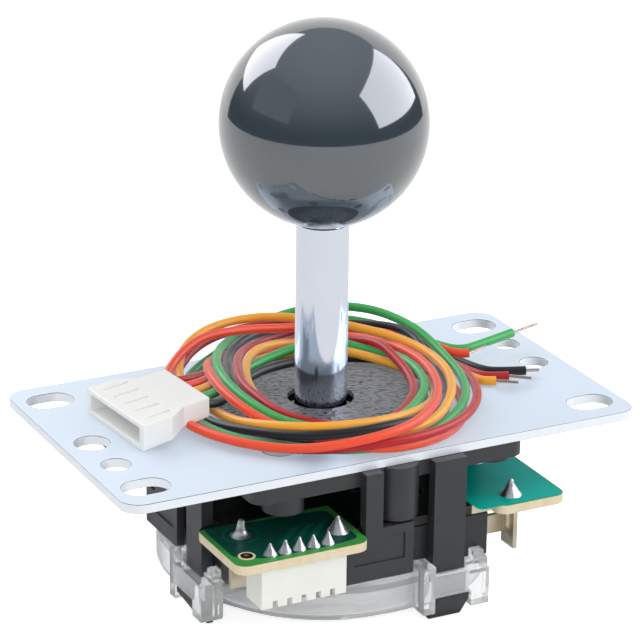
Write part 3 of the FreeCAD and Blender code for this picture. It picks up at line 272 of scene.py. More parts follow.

# %% [markdown]
# The lead has five separate wires. They leave the plug side by side, go two and a third times round the shaft and end
# in stripped tips on the right. A wire is a smooth curve with a round section, so each one is a spline whose control
# points are given: evenly spaced in angle round the shaft, each with its own radius and height, so that the
# turns cross, spread and lie on each other as loose wires do.

# %% The wires' routes
WIRES = {
    "red": {
        "start": [(-23.9, 9.1, 4.3), (-20.9, 9.3, 4.1)], "first": 138, "last": -710,
        "end": [(29.2, -3.2, 0.9), (31.2, -5.1, 1.0), (33.5, -6.3, 1.2)], "tip": (36.5, -8.9, 1.2),
        "radii": [
            20.4, 20.4, 20.6, 20.7, 20.3, 18.1, 16.2, 16.0, 16.2, 16.6, 19.0, 19.6, 18.2, 16.1, 14.3, 14.1,
            14.2, 16.0, 20.0, 25.1, 28.1, 28.0, 27.1, 26.6, 27.0, 27.4, 27.7, 27.1, 25.2, 24.6, 25.2, 25.6,
            25.7, 26.0, 26.0, 24.6, 24.0, 25.9, 27.4, 28.3,
        ],
        "heights": [
            2.6, 1.7, 1.3, 1.8, 3.7, 5.2, 4.1, 3.0, 2.7, 2.6, 2.7, 3.0, 3.5, 4.0, 4.6, 4.9, 5.0, 4.5, 3.4, 2.4,
            3.3, 2.5, 2.0, 2.2, 2.5, 2.6, 2.7, 2.9, 1.7, 1.2, 1.1, 1.0, 1.0, 2.3, 4.7, 5.7, 5.0, 2.9, 0.7, 0.8,
        ],
    },
    "coral": {
        "start": [(-23.6, 6.3, 4.3), (-20.6, 6.6, 4.1)], "first": 140, "last": -702,
        "end": [(28.4, 3.3, 2.6), (30.4, 2.4, 2.9)], "tip": (34.2, 3.0, 3.3),
        "radii": [
            18.7, 18.8, 19.0, 19.0, 19.5, 21.1, 22.8, 23.7, 24.5, 26.4, 26.7, 25.9, 21.7, 19.8, 18.7, 18.5,
            19.1, 21.0, 22.9, 24.2, 24.9, 23.1, 20.1, 19.1, 19.2, 20.5, 22.8, 26.5, 27.0, 26.0, 26.6, 27.3,
            27.2, 26.9, 24.7, 22.0, 21.2, 23.5, 25.8, 27.2,
        ],
        "heights": [
            2.8, 2.0, 1.9, 1.9, 1.7, 1.1, 0.9, 0.8, 0.8, 0.8, 1.0, 1.4, 2.6, 3.0, 4.2, 5.1, 5.3, 4.0, 2.1, 1.0,
            2.2, 3.4, 4.4, 4.7, 4.7, 4.5, 4.6, 4.7, 3.6, 1.8, 1.8, 1.9, 2.2, 3.9, 6.8, 6.6, 5.6, 4.8, 3.8, 3.3,
        ],
    },
    "amber": {
        "start": [(-23.4, 3.5, 4.3), (-20.4, 3.8, 4.1)], "first": 142, "last": -712,
        "end": [(28.0, -5.0, 0.9), (29.4, -6.5, 1.0), (30.5, -7.1, 1.1)], "tip": (33.6, -9.4, 1.1),
        "radii": [
            17.1, 17.2, 17.5, 17.3, 16.6, 16.1, 17.9, 19.1, 19.8, 20.4, 21.4, 22.0, 22.2, 21.3, 20.1, 20.8,
            24.3, 26.7, 27.0, 24.9, 21.0, 20.0, 21.0, 21.6, 22.2, 23.3, 25.1, 24.5, 21.2, 17.0, 14.1, 12.9,
            12.6, 13.3, 15.7, 19.3, 22.5, 24.6, 25.9, 26.6,
        ],
        "heights": [
            2.8, 2.1, 2.1, 2.3, 3.2, 2.9, 2.1, 2.2, 2.6, 3.2, 4.2, 4.6, 4.4, 3.5, 1.9, 2.0, 2.4, 5.2, 6.5, 6.9,
            6.8, 6.3, 5.6, 5.0, 4.7, 4.3, 3.4, 2.7, 1.7, 2.2, 3.0, 3.6, 4.0, 4.2, 4.2, 3.6, 2.3, 1.1, 0.8, 0.8,
        ],
    },
    "green": {
        "start": [(-23.1, 0.7, 4.3), (-20.1, 1.0, 4.1)], "first": 146, "last": -702,
        "end": [(30.0, 4.9, 2.5), (34.6, 5.6, 2.7), (41.8, 7.0, 3.2)], "tip": (47.6, 8.0, 3.6),
        "radii": [
            15.7, 15.4, 15.6, 16.2, 17.6, 18.2, 18.2, 17.8, 18.0, 18.2, 19.6, 21.6, 20.3, 18.6, 17.2, 16.8,
            17.3, 18.9, 22.5, 27.2, 30.1, 30.3, 27.8, 25.6, 25.2, 25.1, 25.0, 24.8, 23.8, 22.4, 23.2, 23.9,
            24.0, 24.1, 24.6, 25.2, 26.6, 28.8, 28.5, 28.4,
        ],
        "heights": [
            2.7, 2.4, 2.7, 3.6, 4.7, 3.1, 3.7, 3.7, 3.5, 3.5, 3.3, 3.0, 3.3, 3.4, 4.5, 5.3, 5.6, 5.2, 4.3, 3.8,
            5.7, 6.6, 5.7, 3.4, 2.5, 2.4, 1.9, 1.2, 0.8, 0.8, 0.8, 0.8, 0.8, 1.0, 1.2, 2.3, 3.6, 4.7, 4.0, 2.8,
        ],
    },
    "black": {
        "start": [(-22.8, -2.1, 4.3), (-19.9, -1.8, 3.6)], "first": 152, "last": -705,
        "end": [(30.8, -1.6, 0.9), (34.0, -3.8, 1.0), (37.5, -5.2, 1.1)], "tip": (39.7, -6.0, 1.1),
        "radii": [
            14.7, 13.9, 13.9, 14.3, 15.3, 17.3, 19.7, 21.7, 22.3, 22.0, 22.0, 23.1, 21.6, 20.0, 17.0, 15.6,
            15.6, 16.5, 20.3, 24.0, 26.2, 27.4, 27.0, 22.6, 21.3, 22.1, 23.2, 23.3, 23.5, 23.5, 22.2, 22.3,
            22.5, 22.5, 22.9, 24.7, 27.2, 28.5, 29.5, 29.8,
        ],
        "heights": [
            1.9, 1.8, 1.8, 1.8, 1.8, 1.8, 1.8, 1.4, 1.2, 1.1, 1.0, 0.8, 0.7, 1.2, 2.7, 3.8, 4.5, 4.3, 3.6, 4.2,
            4.0, 4.1, 5.1, 3.4, 2.7, 2.7, 2.8, 4.1, 3.9, 3.1, 2.3, 1.1, 0.8, 0.8, 0.8, 1.0, 1.4, 1.6, 0.9, 0.8,
        ],
    },
}
TAILS = {"red": "red_tail", "coral": "orange_tail", "amber": "amber_tail", "green": "green_tail",
         "black": "black_tail"}
SLOTS = {"red": "red_vinyl", "coral": "orange_vinyl", "amber": "amber_vinyl", "green": "green_vinyl",
         "black": "black_vinyl"}
WIRE_DIAMETER = 1.6


def route(wire):
    """The control points of one wire, from the plug round the shaft to the end of its insulation."""
    count = len(wire["radii"])
    turns = []
    for i, (radius, height) in enumerate(zip(wire["radii"], wire["heights"])):
        angle = math.radians(wire["first"] + (wire["last"] - wire["first"]) * i / (count - 1))
        turns.append((radius * math.cos(angle), radius * math.sin(angle), height))
    return wire["start"] + turns + wire["end"]


print({name: len(route(wire)) for name, wire in WIRES.items()}, "points")

# %% [markdown]
# At each free end the insulation is stripped and the bare strands are twisted. Five strands of tinned copper are
# modelled: one small circle off the centre line, screwed along its length, copied round in fifths of a turn and
# joined. The bundle is then turned to the wire's own heading. The twist is coarser than the real one, to show.

# %% Twisted strands
STRAND = {"radius": 0.11, "offset": 0.17, "pitch": 2.6}


def strand_bundle(name, start, tip):
    """Five twisted strands from the end of the insulation to the tip."""
    start, tip = Vector(start) * MM, Vector(tip) * MM
    length = (tip - start).length
    bpy.ops.object.select_all(action="DESELECT")
    bpy.ops.mesh.primitive_circle_add(vertices=8, radius=STRAND["radius"] * MM,
                                      location=(STRAND["offset"] * MM, 0, 0))
    strand = settle(bpy.context.object, name)
    twist = strand.modifiers.new("twist", "SCREW")
    twist.angle = 2 * math.pi * length / (STRAND["pitch"] * MM)
    twist.screw_offset = length
    twist.steps = twist.render_steps = max(12, round(length / MM * 7))
    twist.use_merge_vertices = False
    bpy.ops.object.modifier_apply(modifier="twist")
    edit(strand)
    bpy.ops.mesh.fill_holes(sides=8)
    bpy.ops.mesh.select_all(action="SELECT")
    bpy.ops.mesh.normals_make_consistent(inside=False)
    for _ in range(4):
        bpy.ops.mesh.duplicate()
        bpy.ops.transform.rotate(value=2 * math.pi / 5, orient_axis="Z", center_override=(0, 0, 0))
    strand = done()
    strand.matrix_world = Matrix.Translation(start) @ (tip - start).to_track_quat("Z", "Y").to_matrix().to_4x4()
    settle(strand, name)
    smooth(strand, 50)
    return ready(strand, "base", "tinned_copper", strand_metal, "bare_strands")


# %% Lay the wires
for name, wire in WIRES.items():
    bundle = strand_bundle(name + "_strands", wire["end"][-1], wire["tip"])
    points = route(wire)
    curve = bpy.data.curves.new(name + "_wire", "CURVE")
    curve.dimensions = "3D"
    curve.resolution_u = 10
    curve.bevel_depth = WIRE_DIAMETER / 2 * MM
    curve.bevel_resolution = 4
    curve.use_fill_caps = True
    spline = curve.splines.new("NURBS")
    spline.points.add(len(points) - 1)
    for point, (x, y, z) in zip(spline.points, points):
        point.co = (x * MM, y * MM, z * MM, 1)
    spline.order_u = 3
    spline.use_endpoint_u = True
    cord = bpy.data.objects.new(name + "_wire", curve)
    bpy.context.scene.collection.objects.link(cord)
    ready(cord, "base", SLOTS[name], vinyl[name], TAILS[name])
    if name == "coral":
        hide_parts("harness_coil")

# %% [markdown]
# The knob is a turned ball with a flat where the shaft's shoulder meets it, and a bore for its threaded insert. It
# starts as a finely divided sphere. A horizontal cut takes off the bottom and closes the flat, the flat is pushed up
# inside as the bore, and the sharp rim of the bore is broken.

# %% Knob
KNOB = {"radius": 17.5, "centre": 49.6, "flat": 32.829, "bore_deep": 14.2, "broken_edge": 0.12}
bpy.ops.object.select_all(action="DESELECT")
bpy.ops.mesh.primitive_uv_sphere_add(segments=128, ring_count=64, radius=KNOB["radius"] * MM,
                                     location=(0, 0, KNOB["centre"] * MM))
knob = settle(bpy.context.object, "knob")
edit(knob)
bpy.ops.mesh.bisect(plane_co=(0, 0, KNOB["flat"] * MM), plane_no=(0, 0, 1), use_fill=True, clear_inner=True)
bpy.ops.mesh.extrude_region_move(TRANSFORM_OT_translate={"value": (0, 0, KNOB["bore_deep"] * MM)})
done()
edit(knob)
bpy.ops.mesh.normals_make_consistent(inside=False)
knob = smooth(done(), 40)
rim = knob.modifiers.new("broken_edge", "BEVEL")
rim.width = KNOB["broken_edge"] * MM
rim.segments = 2
rim.limit_method = "ANGLE"
rim.angle_limit = math.radians(60)
bpy.ops.object.modifier_apply(modifier="broken_edge")
ready(knob, "stick", "knob_plastic", knob_slate, "ball_top")
print("knob has", len(knob.data.polygons), "faces")

# %% [markdown]
# Shafts, washers and solder joints are all round, so they are turned as on a lathe: one corner point is extruded
# from place to place to draw half of the section, and that line is spun a full turn about its axis.


# %% Turning
def turned(name, section, steps, axis_at=(0, 0), closed=False):
    """Spin a section of (radius, height) points, in millimetres, about an upright axis."""
    x, y = axis_at
    bpy.ops.object.select_all(action="DESELECT")
    radius, height = section[0]
    bpy.ops.mesh.primitive_plane_add(size=0.1 * MM, location=((x + radius) * MM, y * MM, height * MM))
    piece = settle(bpy.context.object, name)
    edit(piece)
    bpy.ops.mesh.merge(type="CENTER")
    for (r0, h0), (r1, h1) in zip(section, section[1:] + (section[:1] if closed else [])):
        bpy.ops.mesh.extrude_region_move(TRANSFORM_OT_translate={"value": ((r1 - r0) * MM, 0, (h1 - h0) * MM)})
    bpy.ops.mesh.select_all(action="SELECT")
    bpy.ops.mesh.spin(steps=steps, angle=2 * math.pi, center=(x * MM, y * MM, 0), axis=(0, 0, 1))
    bpy.ops.mesh.select_all(action="SELECT")
    bpy.ops.mesh.remove_doubles(threshold=0.002 * MM)
    bpy.ops.mesh.normals_make_consistent(inside=False)
    return smooth(done(), 30)


# %% [markdown]
# The shaft is 9 mm bar with a turned stem below its shoulder. Its chamfers and the clip's groove are part of the
# section. The washer round it is a millimetre thick with rounded rims, punched from sheet, and its bore leaves the
# shaft room to tilt to any side.

# %% Shaft and washer
shaft_section = [
    (0, -30.0), (2.6, -30.0), (3.0, -29.6), (3.0, -28.7), (2.4, -28.7), (2.4, -27.9), (3.0, -27.9), (3.0, -1.6),
    (3.05, -1.45), (4.3, -1.45), (4.5, -1.25), (4.5, -1.0), (4.5, 32.2), (4.5, 32.43), (4.4, 32.65), (4.1, 32.83),
    (3.0, 32.83), (3.0, 45.4), (0, 45.4),
]
shaft = turned("lever_shaft", shaft_section, 96)
ready(shaft, "stick", "chrome_steel", chrome, "shaft")

BORE, OUTER, THICK = 5.65, 18.5, 1.0
RIM = 0.22
NEAR = RIM * 0.3
MIDWAY = 12.0
washer_section = [
    (BORE, RIM), (BORE + NEAR, NEAR), (BORE + RIM, 0.0), (OUTER - RIM, 0.0), (OUTER - NEAR, NEAR), (OUTER, RIM),
    (OUTER, THICK - RIM), (OUTER - NEAR, THICK - NEAR), (OUTER - RIM, THICK), (MIDWAY, THICK),
    (BORE + RIM, THICK), (BORE + NEAR, THICK - NEAR), (BORE, THICK - RIM),
]
washer = turned("crinkled_washer", washer_section, 128, closed=True)
ready(washer, "base", "black_washer", crinkle, "dust_washer")
print("shaft", len(shaft.data.polygons), "and washer", len(washer.data.polygons), "faces")

# %% [markdown]
# Solder draws up round a lug in a hollow cone with a thin skirt on its pad, and leaves the lug's end as a small dome.
# On thin pins it pulls to a sharp tip. Each joint gets its own height and lean, because hand soldering never repeats,
# and the same seed gives the same joints on each run.

# %% Solder joints
BOARD_TOP = -12.0
LUG = [(1.95, 0.0), (1.8, 0.1), (1.45, 0.28), (1.1, 0.62), (0.86, 1.1), (0.74, 1.6), (0.68, 2.1), (0.6, 2.55),
       (0.44, 2.82), (0.2, 2.95), (0, 2.98)]
CONE = [(1.95, 0.0), (1.86, 0.14), (1.62, 0.42), (1.26, 0.95), (0.9, 1.55), (0.62, 2.05), (0.5, 2.35), (0.46, 2.7),
        (0.3, 2.93), (0, 2.98)]
PIN = [(1.18, 0.0), (1.12, 0.12), (0.96, 0.4), (0.72, 0.85), (0.48, 1.35), (0.3, 1.75), (0.22, 2.0), (0.1, 2.16),
       (0, 2.19)]
joint_places = [(23.6, -24.6, CONE), (-9.4, -25.2, CONE), (24.6, 21.7, LUG), (25.2, -9.4, CONE),
                (-21.7, 24.6, CONE), (9.4, 25.2, LUG), (-24.6, -19.9, LUG), (-25.2, 9.4, CONE)]
joint_places += [(-18.3 + 2.6 * i, -28.6, PIN) for i in range(-2, 3)]
drawn = random.Random(7)
joints = []
for x, y, section in joint_places:
    joint = turned("joint", [(r, BOARD_TOP + h) for r, h in section], 32, (x, y))
    lean = Matrix.Shear("XY", 4, (drawn.uniform(-0.07, 0.07), drawn.uniform(-0.07, 0.07)))
    base = Matrix.Translation(Vector((x, y, BOARD_TOP)) * MM)
    joint.data.transform(base @ lean @ Matrix.Scale(drawn.uniform(0.94, 1.0), 4, (0, 0, 1)) @ base.inverted())
    joints.append(joint)
bpy.ops.object.select_all(action="DESELECT")
for joint in joints:
    joint.select_set(True)
bpy.context.view_layer.objects.active = joints[0]
bpy.ops.object.join()
joints = settle(bpy.context.object, "solder_cones")
edit(joints)
bpy.ops.mesh.select_all(action="SELECT")
bpy.ops.transform.vertex_random(offset=0.022 * MM, uniform=0.8, normal=0.6, seed=3)
smooth(done(), 60)
ready(joints, "base", "solder", solder, "solder_joints")

# %% [markdown]
# The CAD solids have knife-sharp edges. Real moulded and stamped edges have a small round that catches the light, so
# a copy of the solid is welded, its flat faces are joined up, and a narrow bevel goes along every edge sharper than
# 30 degrees. Before the bevel a copy can be cut down to another solid and joined to a third. The CAD solid itself
# stays untouched.


# %% Softened edges
def combined(piece, other, operation):
    """Join another solid to this one, or cut this one by it, and drop the other."""
    step = piece.modifiers.new("combine", "BOOLEAN")
    step.operation = operation
    step.object = other
    step.solver = "EXACT"
    pick(piece)
    bpy.ops.object.modifier_apply(modifier="combine")
    bpy.data.objects.remove(other, do_unlink=True)
    return piece


WELD = 0.0005
FLAT = 0.6
HARD = 30


def softened(node, body, slot, material, width, keep=None, extra=None):
    """A copy of a CAD node with rounds this wide on its hard edges, kept inside one solid and joined to another."""
    piece = bpy.data.objects.new(node + "_soft", nodes[node].data.copy())
    bpy.context.scene.collection.objects.link(piece)
    edit(piece)
    bpy.ops.mesh.customdata_custom_splitnormals_clear()
    bpy.ops.mesh.select_all(action="SELECT")
    bpy.ops.mesh.remove_doubles(threshold=WELD * MM)
    bpy.ops.mesh.dissolve_limited(angle_limit=math.radians(FLAT))
    done()
    if keep:
        combined(piece, keep, "INTERSECT")
        combined(piece, extra, "UNION")
    bpy.ops.object.shade_smooth()
    rounds = piece.modifiers.new("rounds", "BEVEL")
    rounds.width = width * MM
    rounds.segments = 2
    rounds.limit_method = "ANGLE"
    rounds.angle_limit = math.radians(HARD)
    rounds.harden_normals = True
    bpy.ops.object.modifier_apply(modifier="rounds")
    return ready(piece, body, slot, material, node)


SIDES = ("front", "right", "back", "left")

# %% [markdown]
# The gate's tray is round between its four snap loops, with a thin wall all along its edge. In the solids it is a
# square box, so the copy is kept only inside a drum and four blocks round the loops, which takes the corners off, and
# the round wall is turned and joined to it.

# %% Round tray of the gate
TRAY = {"radius": 28.2, "wall": 1.5, "foot": -27.15, "top": -21.4}
LOOP = {"start": 3.4, "end": 17.4, "in": -14.0, "out": -31.5, "high": 19}
DRUM = {"middle": -25, "high": 20}
bpy.ops.object.select_all(action="DESELECT")
bpy.ops.mesh.primitive_cylinder_add(vertices=120, radius=TRAY["radius"] * MM, depth=DRUM["high"] * MM,
                                    location=(0, 0, DRUM["middle"] * MM))
drum = settle(bpy.context.object, "drum")
for quarter in range(4):
    middle = Vector(((LOOP["start"] + LOOP["end"]) / 2, (LOOP["in"] + LOOP["out"]) / 2, DRUM["middle"])) * MM
    bpy.ops.object.select_all(action="DESELECT")
    bpy.ops.mesh.primitive_cube_add(size=1 * MM)
    block = bpy.context.object
    block.matrix_world = (Matrix.Rotation(quarter * math.pi / 2, 4, "Z") @ Matrix.Translation(middle)
                          @ Matrix.Diagonal((LOOP["end"] - LOOP["start"], LOOP["in"] - LOOP["out"], LOOP["high"], 1)))
    combined(drum, settle(block, "block"), "UNION")
inner = TRAY["radius"] - TRAY["wall"]
wall = turned("tray_wall", [(inner, TRAY["foot"]), (TRAY["radius"], TRAY["foot"]), (TRAY["radius"], TRAY["top"]),
                            (inner, TRAY["top"])], 120, closed=True)
print("drum of", len(drum.data.polygons), "faces")

# %% Pieces with softened edges
plate = softened("mounting_plate", "base", "zinc_steel", zinc, 0.16)
softened("housing", "base", "black_plastic", moulded, 0.2)
softened("gate_frame", "base", "clear_plastic", clear, 0.14, drum, wall)
softened("gate_insert", "base", "clear_plastic", clear, 0.15)
plug = softened("harness_connector", "base", "connector_plastic", nylon, 0.25)
softened("header_shell", "base", "header_plastic", header_nylon, 0.12)
board = softened("circuit_board", "base", "board_laminate", laminate, 0.05)
for side in SIDES:
    softened("switch_case_" + side, "base", "case_plastic", case_black, 0.18)
    softened("switch_terminals_" + side, "base", "tinned_metal", tinned, 0.05)

# %% [markdown]
# The plate was sheared from sheet and then plated. Its edge has a coarser face and is painted whiter, a painted
# highlight. The narrow rolled corner between the two mirrors the dark side of the room and is painted a darker grey
# as painted shade, which draws a thin dark line round the top.

# %% Plate edges
LEVEL, UPRIGHT = 0.97, 0.2
plate.data.materials.append(zinc_edge_painted_highlight)
plate.data.materials.append(zinc_corner_painted_shade)
# Level faces keep the zinc, upright ones get the painted highlight and the faces between get the painted shade.
for face in plate.data.polygons:
    rise = abs(face.normal.z)
    face.material_index = 0 if rise > LEVEL else 1 if rise < UPRIGHT else 2
print([sum(face.material_index == index for face in plate.data.polygons) for index in range(3)], "faces")

# %% [markdown]
# A board is laminate with a green mask on both faces, so its level faces get the mask and its sawn edge stays cream.
# Bright green shows only on the four lobes, which are quarter turns of one another. The middle lies in the housing's
# shade, which is painted: both finishes go nearly black outside the lobes. The test for one lobe is made four times,
# each time with the place turned a quarter further.

# %% Masked faces of the board
LOBE = {"side": -6.4, "inner": -15.4}
# Painted shade: the nearly black colours of the mask and the sawn edge outside the lobes.
SHADE = {mask_green: "#0a1613", laminate: "#33302a"}
for material, dark in SHADE.items():
    tree = material.node_tree
    place = tree.nodes["Texture Coordinate"].outputs["Object"]
    lobes = 0.0
    for quarter in range(4):
        turn = add(tree, "VectorRotate", {"Vector": place, "Angle": quarter * math.pi / 2})
        spot = add(tree, "SeparateXYZ", {"Vector": turn.outputs["Vector"]}).outputs
        past = add(tree, "Math", {0: spot["X"], 1: LOBE["side"] * MM}, operation="LESS_THAN").outputs["Value"]
        out = add(tree, "Math", {0: spot["Y"], 1: LOBE["inner"] * MM}, operation="LESS_THAN").outputs["Value"]
        both = add(tree, "Math", {0: past, 1: out}, operation="MULTIPLY").outputs["Value"]
        lobes = add(tree, "Math", {0: both, 1: lobes}, operation="MAXIMUM").outputs["Value"]
    middle_shade = add(tree, "MixRGB", {"Fac": lobes, "Color1": linear(dark),
                                  "Color2": tree.nodes["Mix (Legacy)"].outputs["Color"]})
    tree.links.new(middle_shade.outputs["Color"], tree.nodes["Principled BSDF"].inputs["Base Color"])
board.data.materials.append(mask_green)
for face in board.data.polygons:
    face.material_index = 1 if abs(face.normal.z) > 0.9 else 0
print(sum(face.material_index for face in board.data.polygons), "masked faces")


# %% [markdown]
# Copper foil under the mask stands a little proud. Each area is a thin plate with rounded corners, laid on the
# board's top: a pour on each lobe, three slanting strips behind the pins, a ring round a lug, and a pale ring, a
# scorched collar and a bare barrel at the drilled hole in the corner.


# %% Foil
def foil(name, corners, rounding, height, material):
    """A thin plate on the board's top through these corners, in millimetres."""
    bpy.ops.object.select_all(action="DESELECT")
    bpy.ops.mesh.primitive_circle_add(vertices=len(corners), radius=1 * MM, fill_type="NGON",
                                      location=(0, 0, BOARD_TOP * MM))
    piece = settle(bpy.context.object, name)
    for vertex, (x, y) in zip(piece.data.vertices, corners):
        vertex.co = (x * MM, y * MM, BOARD_TOP * MM)
    edit(piece)
    bpy.ops.mesh.bevel(offset=rounding * MM, segments=5, affect="VERTICES")
    bpy.ops.mesh.select_all(action="SELECT")
    bpy.ops.mesh.extrude_region_move(TRANSFORM_OT_translate={"value": (0, 0, height * MM)})
    bpy.ops.mesh.select_all(action="SELECT")
    bpy.ops.mesh.normals_make_consistent(inside=False)
    piece = smooth(done(), 40)
    return ready(piece, "base", "board_laminate", material)


FOIL = 0.05
foil("front_pour", [(-29.3, -27.0), (-24.6, -29.7), (-12.2, -29.7), (-7.6, -29.0), (-7.6, -17.0), (-29.3, -15.2)],
     1.0, FOIL, mask_teal)
# The right lobe's pour takes the lighter teal, painted light.
foil("right_pour", [(15.6, -28.2), (32.1, -28.2), (32.1, -6.9), (15.6, -6.9)], 1.2, FOIL, mask_teal_painted_lit)
foil("back_pour", [(6.9, 15.6), (28.2, 15.6), (28.2, 30.3), (6.9, 30.3)], 1.2, FOIL, mask_teal)
foil("left_pour", [(-30.3, 6.9), (-15.6, 6.9), (-15.6, 28.2), (-30.3, 28.2)], 1.2, FOIL, mask_teal)
STRIP = {"wide": 1.5, "front": -25.6, "back": -20.9, "slant": 4.8}
for number, start in enumerate((-20.6, -18.0, -15.4)):
    end = start + STRIP["slant"]
    foil("strip_%d" % number, [(start, STRIP["front"]), (start + STRIP["wide"], STRIP["front"]),
                               (end + STRIP["wide"], STRIP["back"]), (end, STRIP["back"])],
         0.2, FOIL * 1.8, mask_faint)


def flat_ring(name, inner, outer, height, steps, place, material):
    """A flat ring on the board's top."""
    section = [(inner, BOARD_TOP), (outer, BOARD_TOP), (outer, BOARD_TOP + height), (inner, BOARD_TOP + height)]
    return ready(turned(name, section, steps, place, closed=True), "base", "board_laminate", material)


LEFT_LUG = (-24.6, -19.9)
HOLE = {"place": (-27.2, -27.5), "bore": 0.5, "collar": 1.05, "ring": 1.45}
flat_ring("lug_trace", 2.75, 3.15, 0.09, 48, LEFT_LUG, mask_faint)
flat_ring("hole_ring", HOLE["collar"], HOLE["ring"], 0.08, 40, HOLE["place"], legend)
flat_ring("hole_collar", HOLE["bore"], HOLE["collar"], 0.1, 40, HOLE["place"], rust)
BARREL = [(0.0, -0.3), (HOLE["bore"], -0.3), (HOLE["bore"], 0.14), (0.34, 0.14), (0.2, 0.02), (0.0, 0.02)]
barrel = turned("hole_barrel", [(r, BOARD_TOP + h) for r, h in BARREL], 32, HOLE["place"])
ready(barrel, "base", "board_laminate", copper)
print("foil and hole ring laid")

# %% [markdown]
# In the picture the mirror images in the ball, the shaft and the plate show the washer and the plate without the
# lead, so the lead is left out of mirror images here too.

# %% Mirror images without the lead
lead = [plug] + [bpy.data.objects[name + "_wire"] for name in WIRES]
for piece in lead:
    piece.visible_glossy = False
print(len(lead), "pieces of the lead")

# %% [markdown]
# The rest of the CAD nodes are small or hidden and their shapes are right, so they stay and only get their finish.

# %% Finishes for the other CAD nodes
KEPT = {
    "plate_screws": screw_steel, "pivot_bushing": bushing_black, "pivot_ball": acetal, "spring_seat": screw_steel,
    "centring_spring": spring_steel, "actuator": moulded, "ball_insert": brass, "thrust_washer": screw_steel,
    "e_clip": spring_steel, "header_pins": tinned, "connector_contacts": tinned,
}
for side in SIDES:
    KEPT["switch_lever_" + side] = lever_steel
    KEPT["switch_plunger_" + side] = plunger_red
for node, material in KEPT.items():
    mesh = nodes[node].data
    mesh.materials.clear()
    mesh.materials.append(material)
print(len(KEPT), "nodes kept")

# %% [markdown]
# The room is a studio: a white table and a white backdrop behind, with two big soft boxes that the knob mirrors. The
# background is white only for the camera, mirrors and glass, and dimmer for the light that falls on the pieces. The
# soft boxes and the dark room behind the camera are seen by mirrors alone, and quiet lamps do the lighting. The
# places and sizes of the boxes are read from their mirror images on the knob.

# %% Soft boxes
KNOB_MIDDLE = Vector((0, 0, 0.05))


def direction(azimuth, elevation, distance):
    """A place seen from the knob: azimuth from straight behind towards the right, elevation upwards."""
    a, e = math.radians(azimuth), math.radians(elevation)
    return Vector((math.sin(a) * math.cos(e), math.cos(a) * math.cos(e), math.sin(e))) * distance + KNOB_MIDDLE


def mirrors_only(piece):
    """Let only mirror rays see this piece."""
    for seen_by in ("camera", "diffuse", "transmission", "volume_scatter", "shadow"):
        setattr(piece, "visible_" + seen_by, False)


def panel(name, colour, strength, centre, size):
    """A flat card that faces the lever, seen only in reflections."""
    bpy.ops.object.select_all(action="DESELECT")
    bpy.ops.mesh.primitive_plane_add(size=1)
    card = bpy.context.object
    card.name = name
    aim = (KNOB_MIDDLE - centre).to_track_quat("Z", "Y")
    card.matrix_world = Matrix.Translation(centre) @ aim.to_matrix().to_4x4() @ Matrix.Diagonal((*size, 1, 1))
    material = bpy.data.materials.new(name)
    material.use_nodes = True
    tree = material.node_tree
    tree.nodes.clear()
    glow = add(tree, "Emission", {"Color": linear(colour), "Strength": strength})
    add(tree, "OutputMaterial", {"Surface": glow.outputs["Emission"]})
    card.data.materials.append(material)
    mirrors_only(card)


panel("right_box", "#f4f7ff", 3.9, direction(113, 27, 0.75), (1.05, 0.62))
panel("left_box", "#f6f8ff", 4.0, direction(-20, 33, 0.75), (0.58, 0.48))
panel("dim_box", "#c8ccd4", 0.65, direction(-88, 30, 0.8), (0.75, 0.5))
print("three boxes stand round the lever")

# %% [markdown]
# The dark room is a sphere round everything, without its foot and without a window towards the white backdrop. It
# glows faintly, more at the ceiling, so that a mirror doesn't turn black. It starts as a whole sphere, and the faces
# below the foot or inside the window are picked by their direction and deleted.

# %% Dark room
ROOM = {"radius": 1.1, "foot": -11, "window": (-23, 73), "window_top": 40, "low": 0.08, "high": 0.65}
bpy.ops.object.select_all(action="DESELECT")
bpy.ops.mesh.primitive_uv_sphere_add(segments=90, ring_count=45, radius=ROOM["radius"], location=KNOB_MIDDLE)
room = settle(bpy.context.object, "dark_room")
edit(room, whole=False)
done()
for face in room.data.polygons:
    x, y, z = face.center - KNOB_MIDDLE
    azimuth = math.degrees(math.atan2(x, y))
    elevation = math.degrees(math.asin(z / Vector((x, y, z)).length))
    in_window = ROOM["window"][0] < azimuth < ROOM["window"][1] and elevation < ROOM["window_top"]
    face.select = elevation < ROOM["foot"] or in_window
pick(room)
bpy.ops.object.mode_set(mode="EDIT")
bpy.ops.mesh.delete(type="FACE")
done()
walls = bpy.data.materials.new("dark_room")
walls.use_nodes = True
tree = walls.node_tree
tree.nodes.clear()
height = add(tree, "SeparateXYZ", {"Vector": add(tree, "TexCoord").outputs["Object"]}).outputs["Z"]
level = add(tree, "MapRange", {"Value": height, "From Min": 0.1, "From Max": ROOM["radius"], "To Min": ROOM["low"],
                               "To Max": ROOM["high"]})
glow = add(tree, "Emission", {"Color": linear("#f2f5ff"), "Strength": level.outputs["Result"]})
add(tree, "OutputMaterial", {"Surface": glow.outputs["Emission"]})
room.data.materials.append(walls)
mirrors_only(room)
print("room of", len(room.data.polygons), "faces")

# %% [markdown]
# The table is matt white paint. For the camera and through clear plastic it also glows a little, so that it runs out
# to pure white and still keeps the lever's shadow. The world does the same for the backdrop.

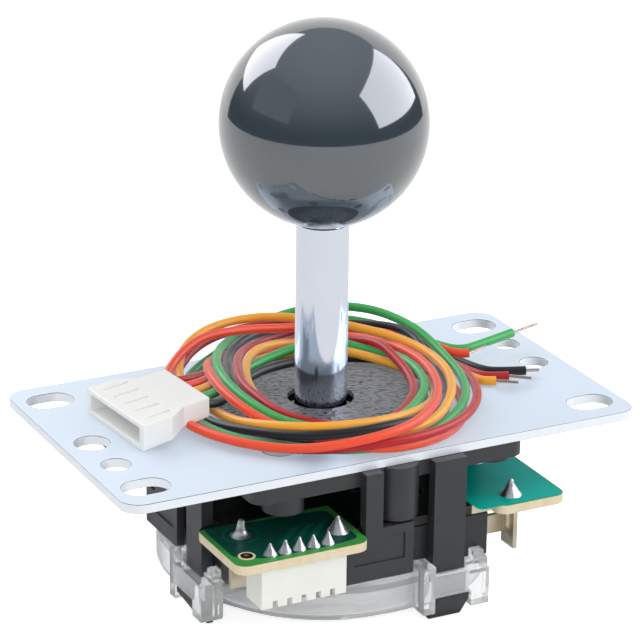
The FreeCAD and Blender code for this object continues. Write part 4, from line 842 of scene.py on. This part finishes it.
# %% Table and backdrop
FLOOR = -30.6
TABLE_GLOW = 0.75
FILL_LIGHT = 0.55
bpy.ops.object.select_all(action="DESELECT")
bpy.ops.mesh.primitive_circle_add(vertices=96, radius=0.55, fill_type="NGON", location=(0, 0, FLOOR * MM))
floor = settle(bpy.context.object, "studio_table")
table = bpy.data.materials.new("white_table")
table.use_nodes = True
tree = table.node_tree
tree.nodes.clear()
path = add(tree, "LightPath").outputs
seen = add(tree, "Math", {0: path["Is Camera Ray"], 1: path["Is Transmission Ray"]}, operation="MAXIMUM")
paint = add(tree, "BsdfDiffuse", {"Color": linear("#f2f2f2")})
share = add(tree, "Math", {0: seen.outputs["Value"], 1: TABLE_GLOW}, operation="MULTIPLY")
lift = add(tree, "Emission", {"Color": linear("#ffffff"), "Strength": share.outputs["Value"]})
both = add(tree, "AddShader", {0: paint.outputs["BSDF"], 1: lift.outputs["Emission"]})
add(tree, "OutputMaterial", {"Surface": both.outputs["Shader"]})
floor.data.materials.append(table)

world = bpy.data.worlds.new("studio")
bpy.context.scene.world = world
world.use_nodes = True
tree = world.node_tree
tree.nodes.clear()
path = add(tree, "LightPath").outputs
seen = add(tree, "Math", {0: path["Is Camera Ray"], 1: path["Is Glossy Ray"]}, operation="MAXIMUM")
seen = add(tree, "Math", {0: seen.outputs["Value"], 1: path["Is Transmission Ray"]}, operation="MAXIMUM")
strength = add(tree, "MapRange", {"Value": seen.outputs["Value"], "To Min": FILL_LIGHT, "To Max": 1.0})
sky = add(tree, "Background", {"Color": linear("#ffffff"), "Strength": strength.outputs["Result"]})
add(tree, "OutputWorld", {"Surface": sky.outputs["Background"]})
print("table and backdrop ready")

# %% [markdown]
# Four large lamps give soft light from the right, the left, above and low in front. They are hidden from the camera
# and from mirrors, because the boxes are what mirrors show.

# %% Lamps
AIM = Vector((0, 0, 0.02))


def lamp(name, place, size, power):
    """A soft rectangular lamp that faces the lever and isn't mirrored itself."""
    data = bpy.data.lights.new(name, "AREA")
    data.shape = "RECTANGLE"
    data.size, data.size_y = size
    data.energy = power
    light = bpy.data.objects.new(name, data)
    bpy.context.scene.collection.objects.link(light)
    turn = (place - AIM).to_track_quat("Z", "Y").to_matrix().to_4x4()
    light.matrix_world = Matrix.Translation(place) @ turn
    light.visible_camera = False
    light.visible_glossy = False
    light.visible_transmission = False


lamp("right_lamp", direction(113, 35, 0.8), (0.8, 0.6), 2.2)
lamp("left_lamp", direction(-40, 38, 0.8), (0.7, 0.5), 1.6)
lamp("top_lamp", direction(180, 78, 0.9), (0.7, 0.7), 1.6)
lamp("front_lamp", direction(205, 12, 0.9), (0.8, 0.5), 2.2)
print(len(bpy.data.lights), "lamps")
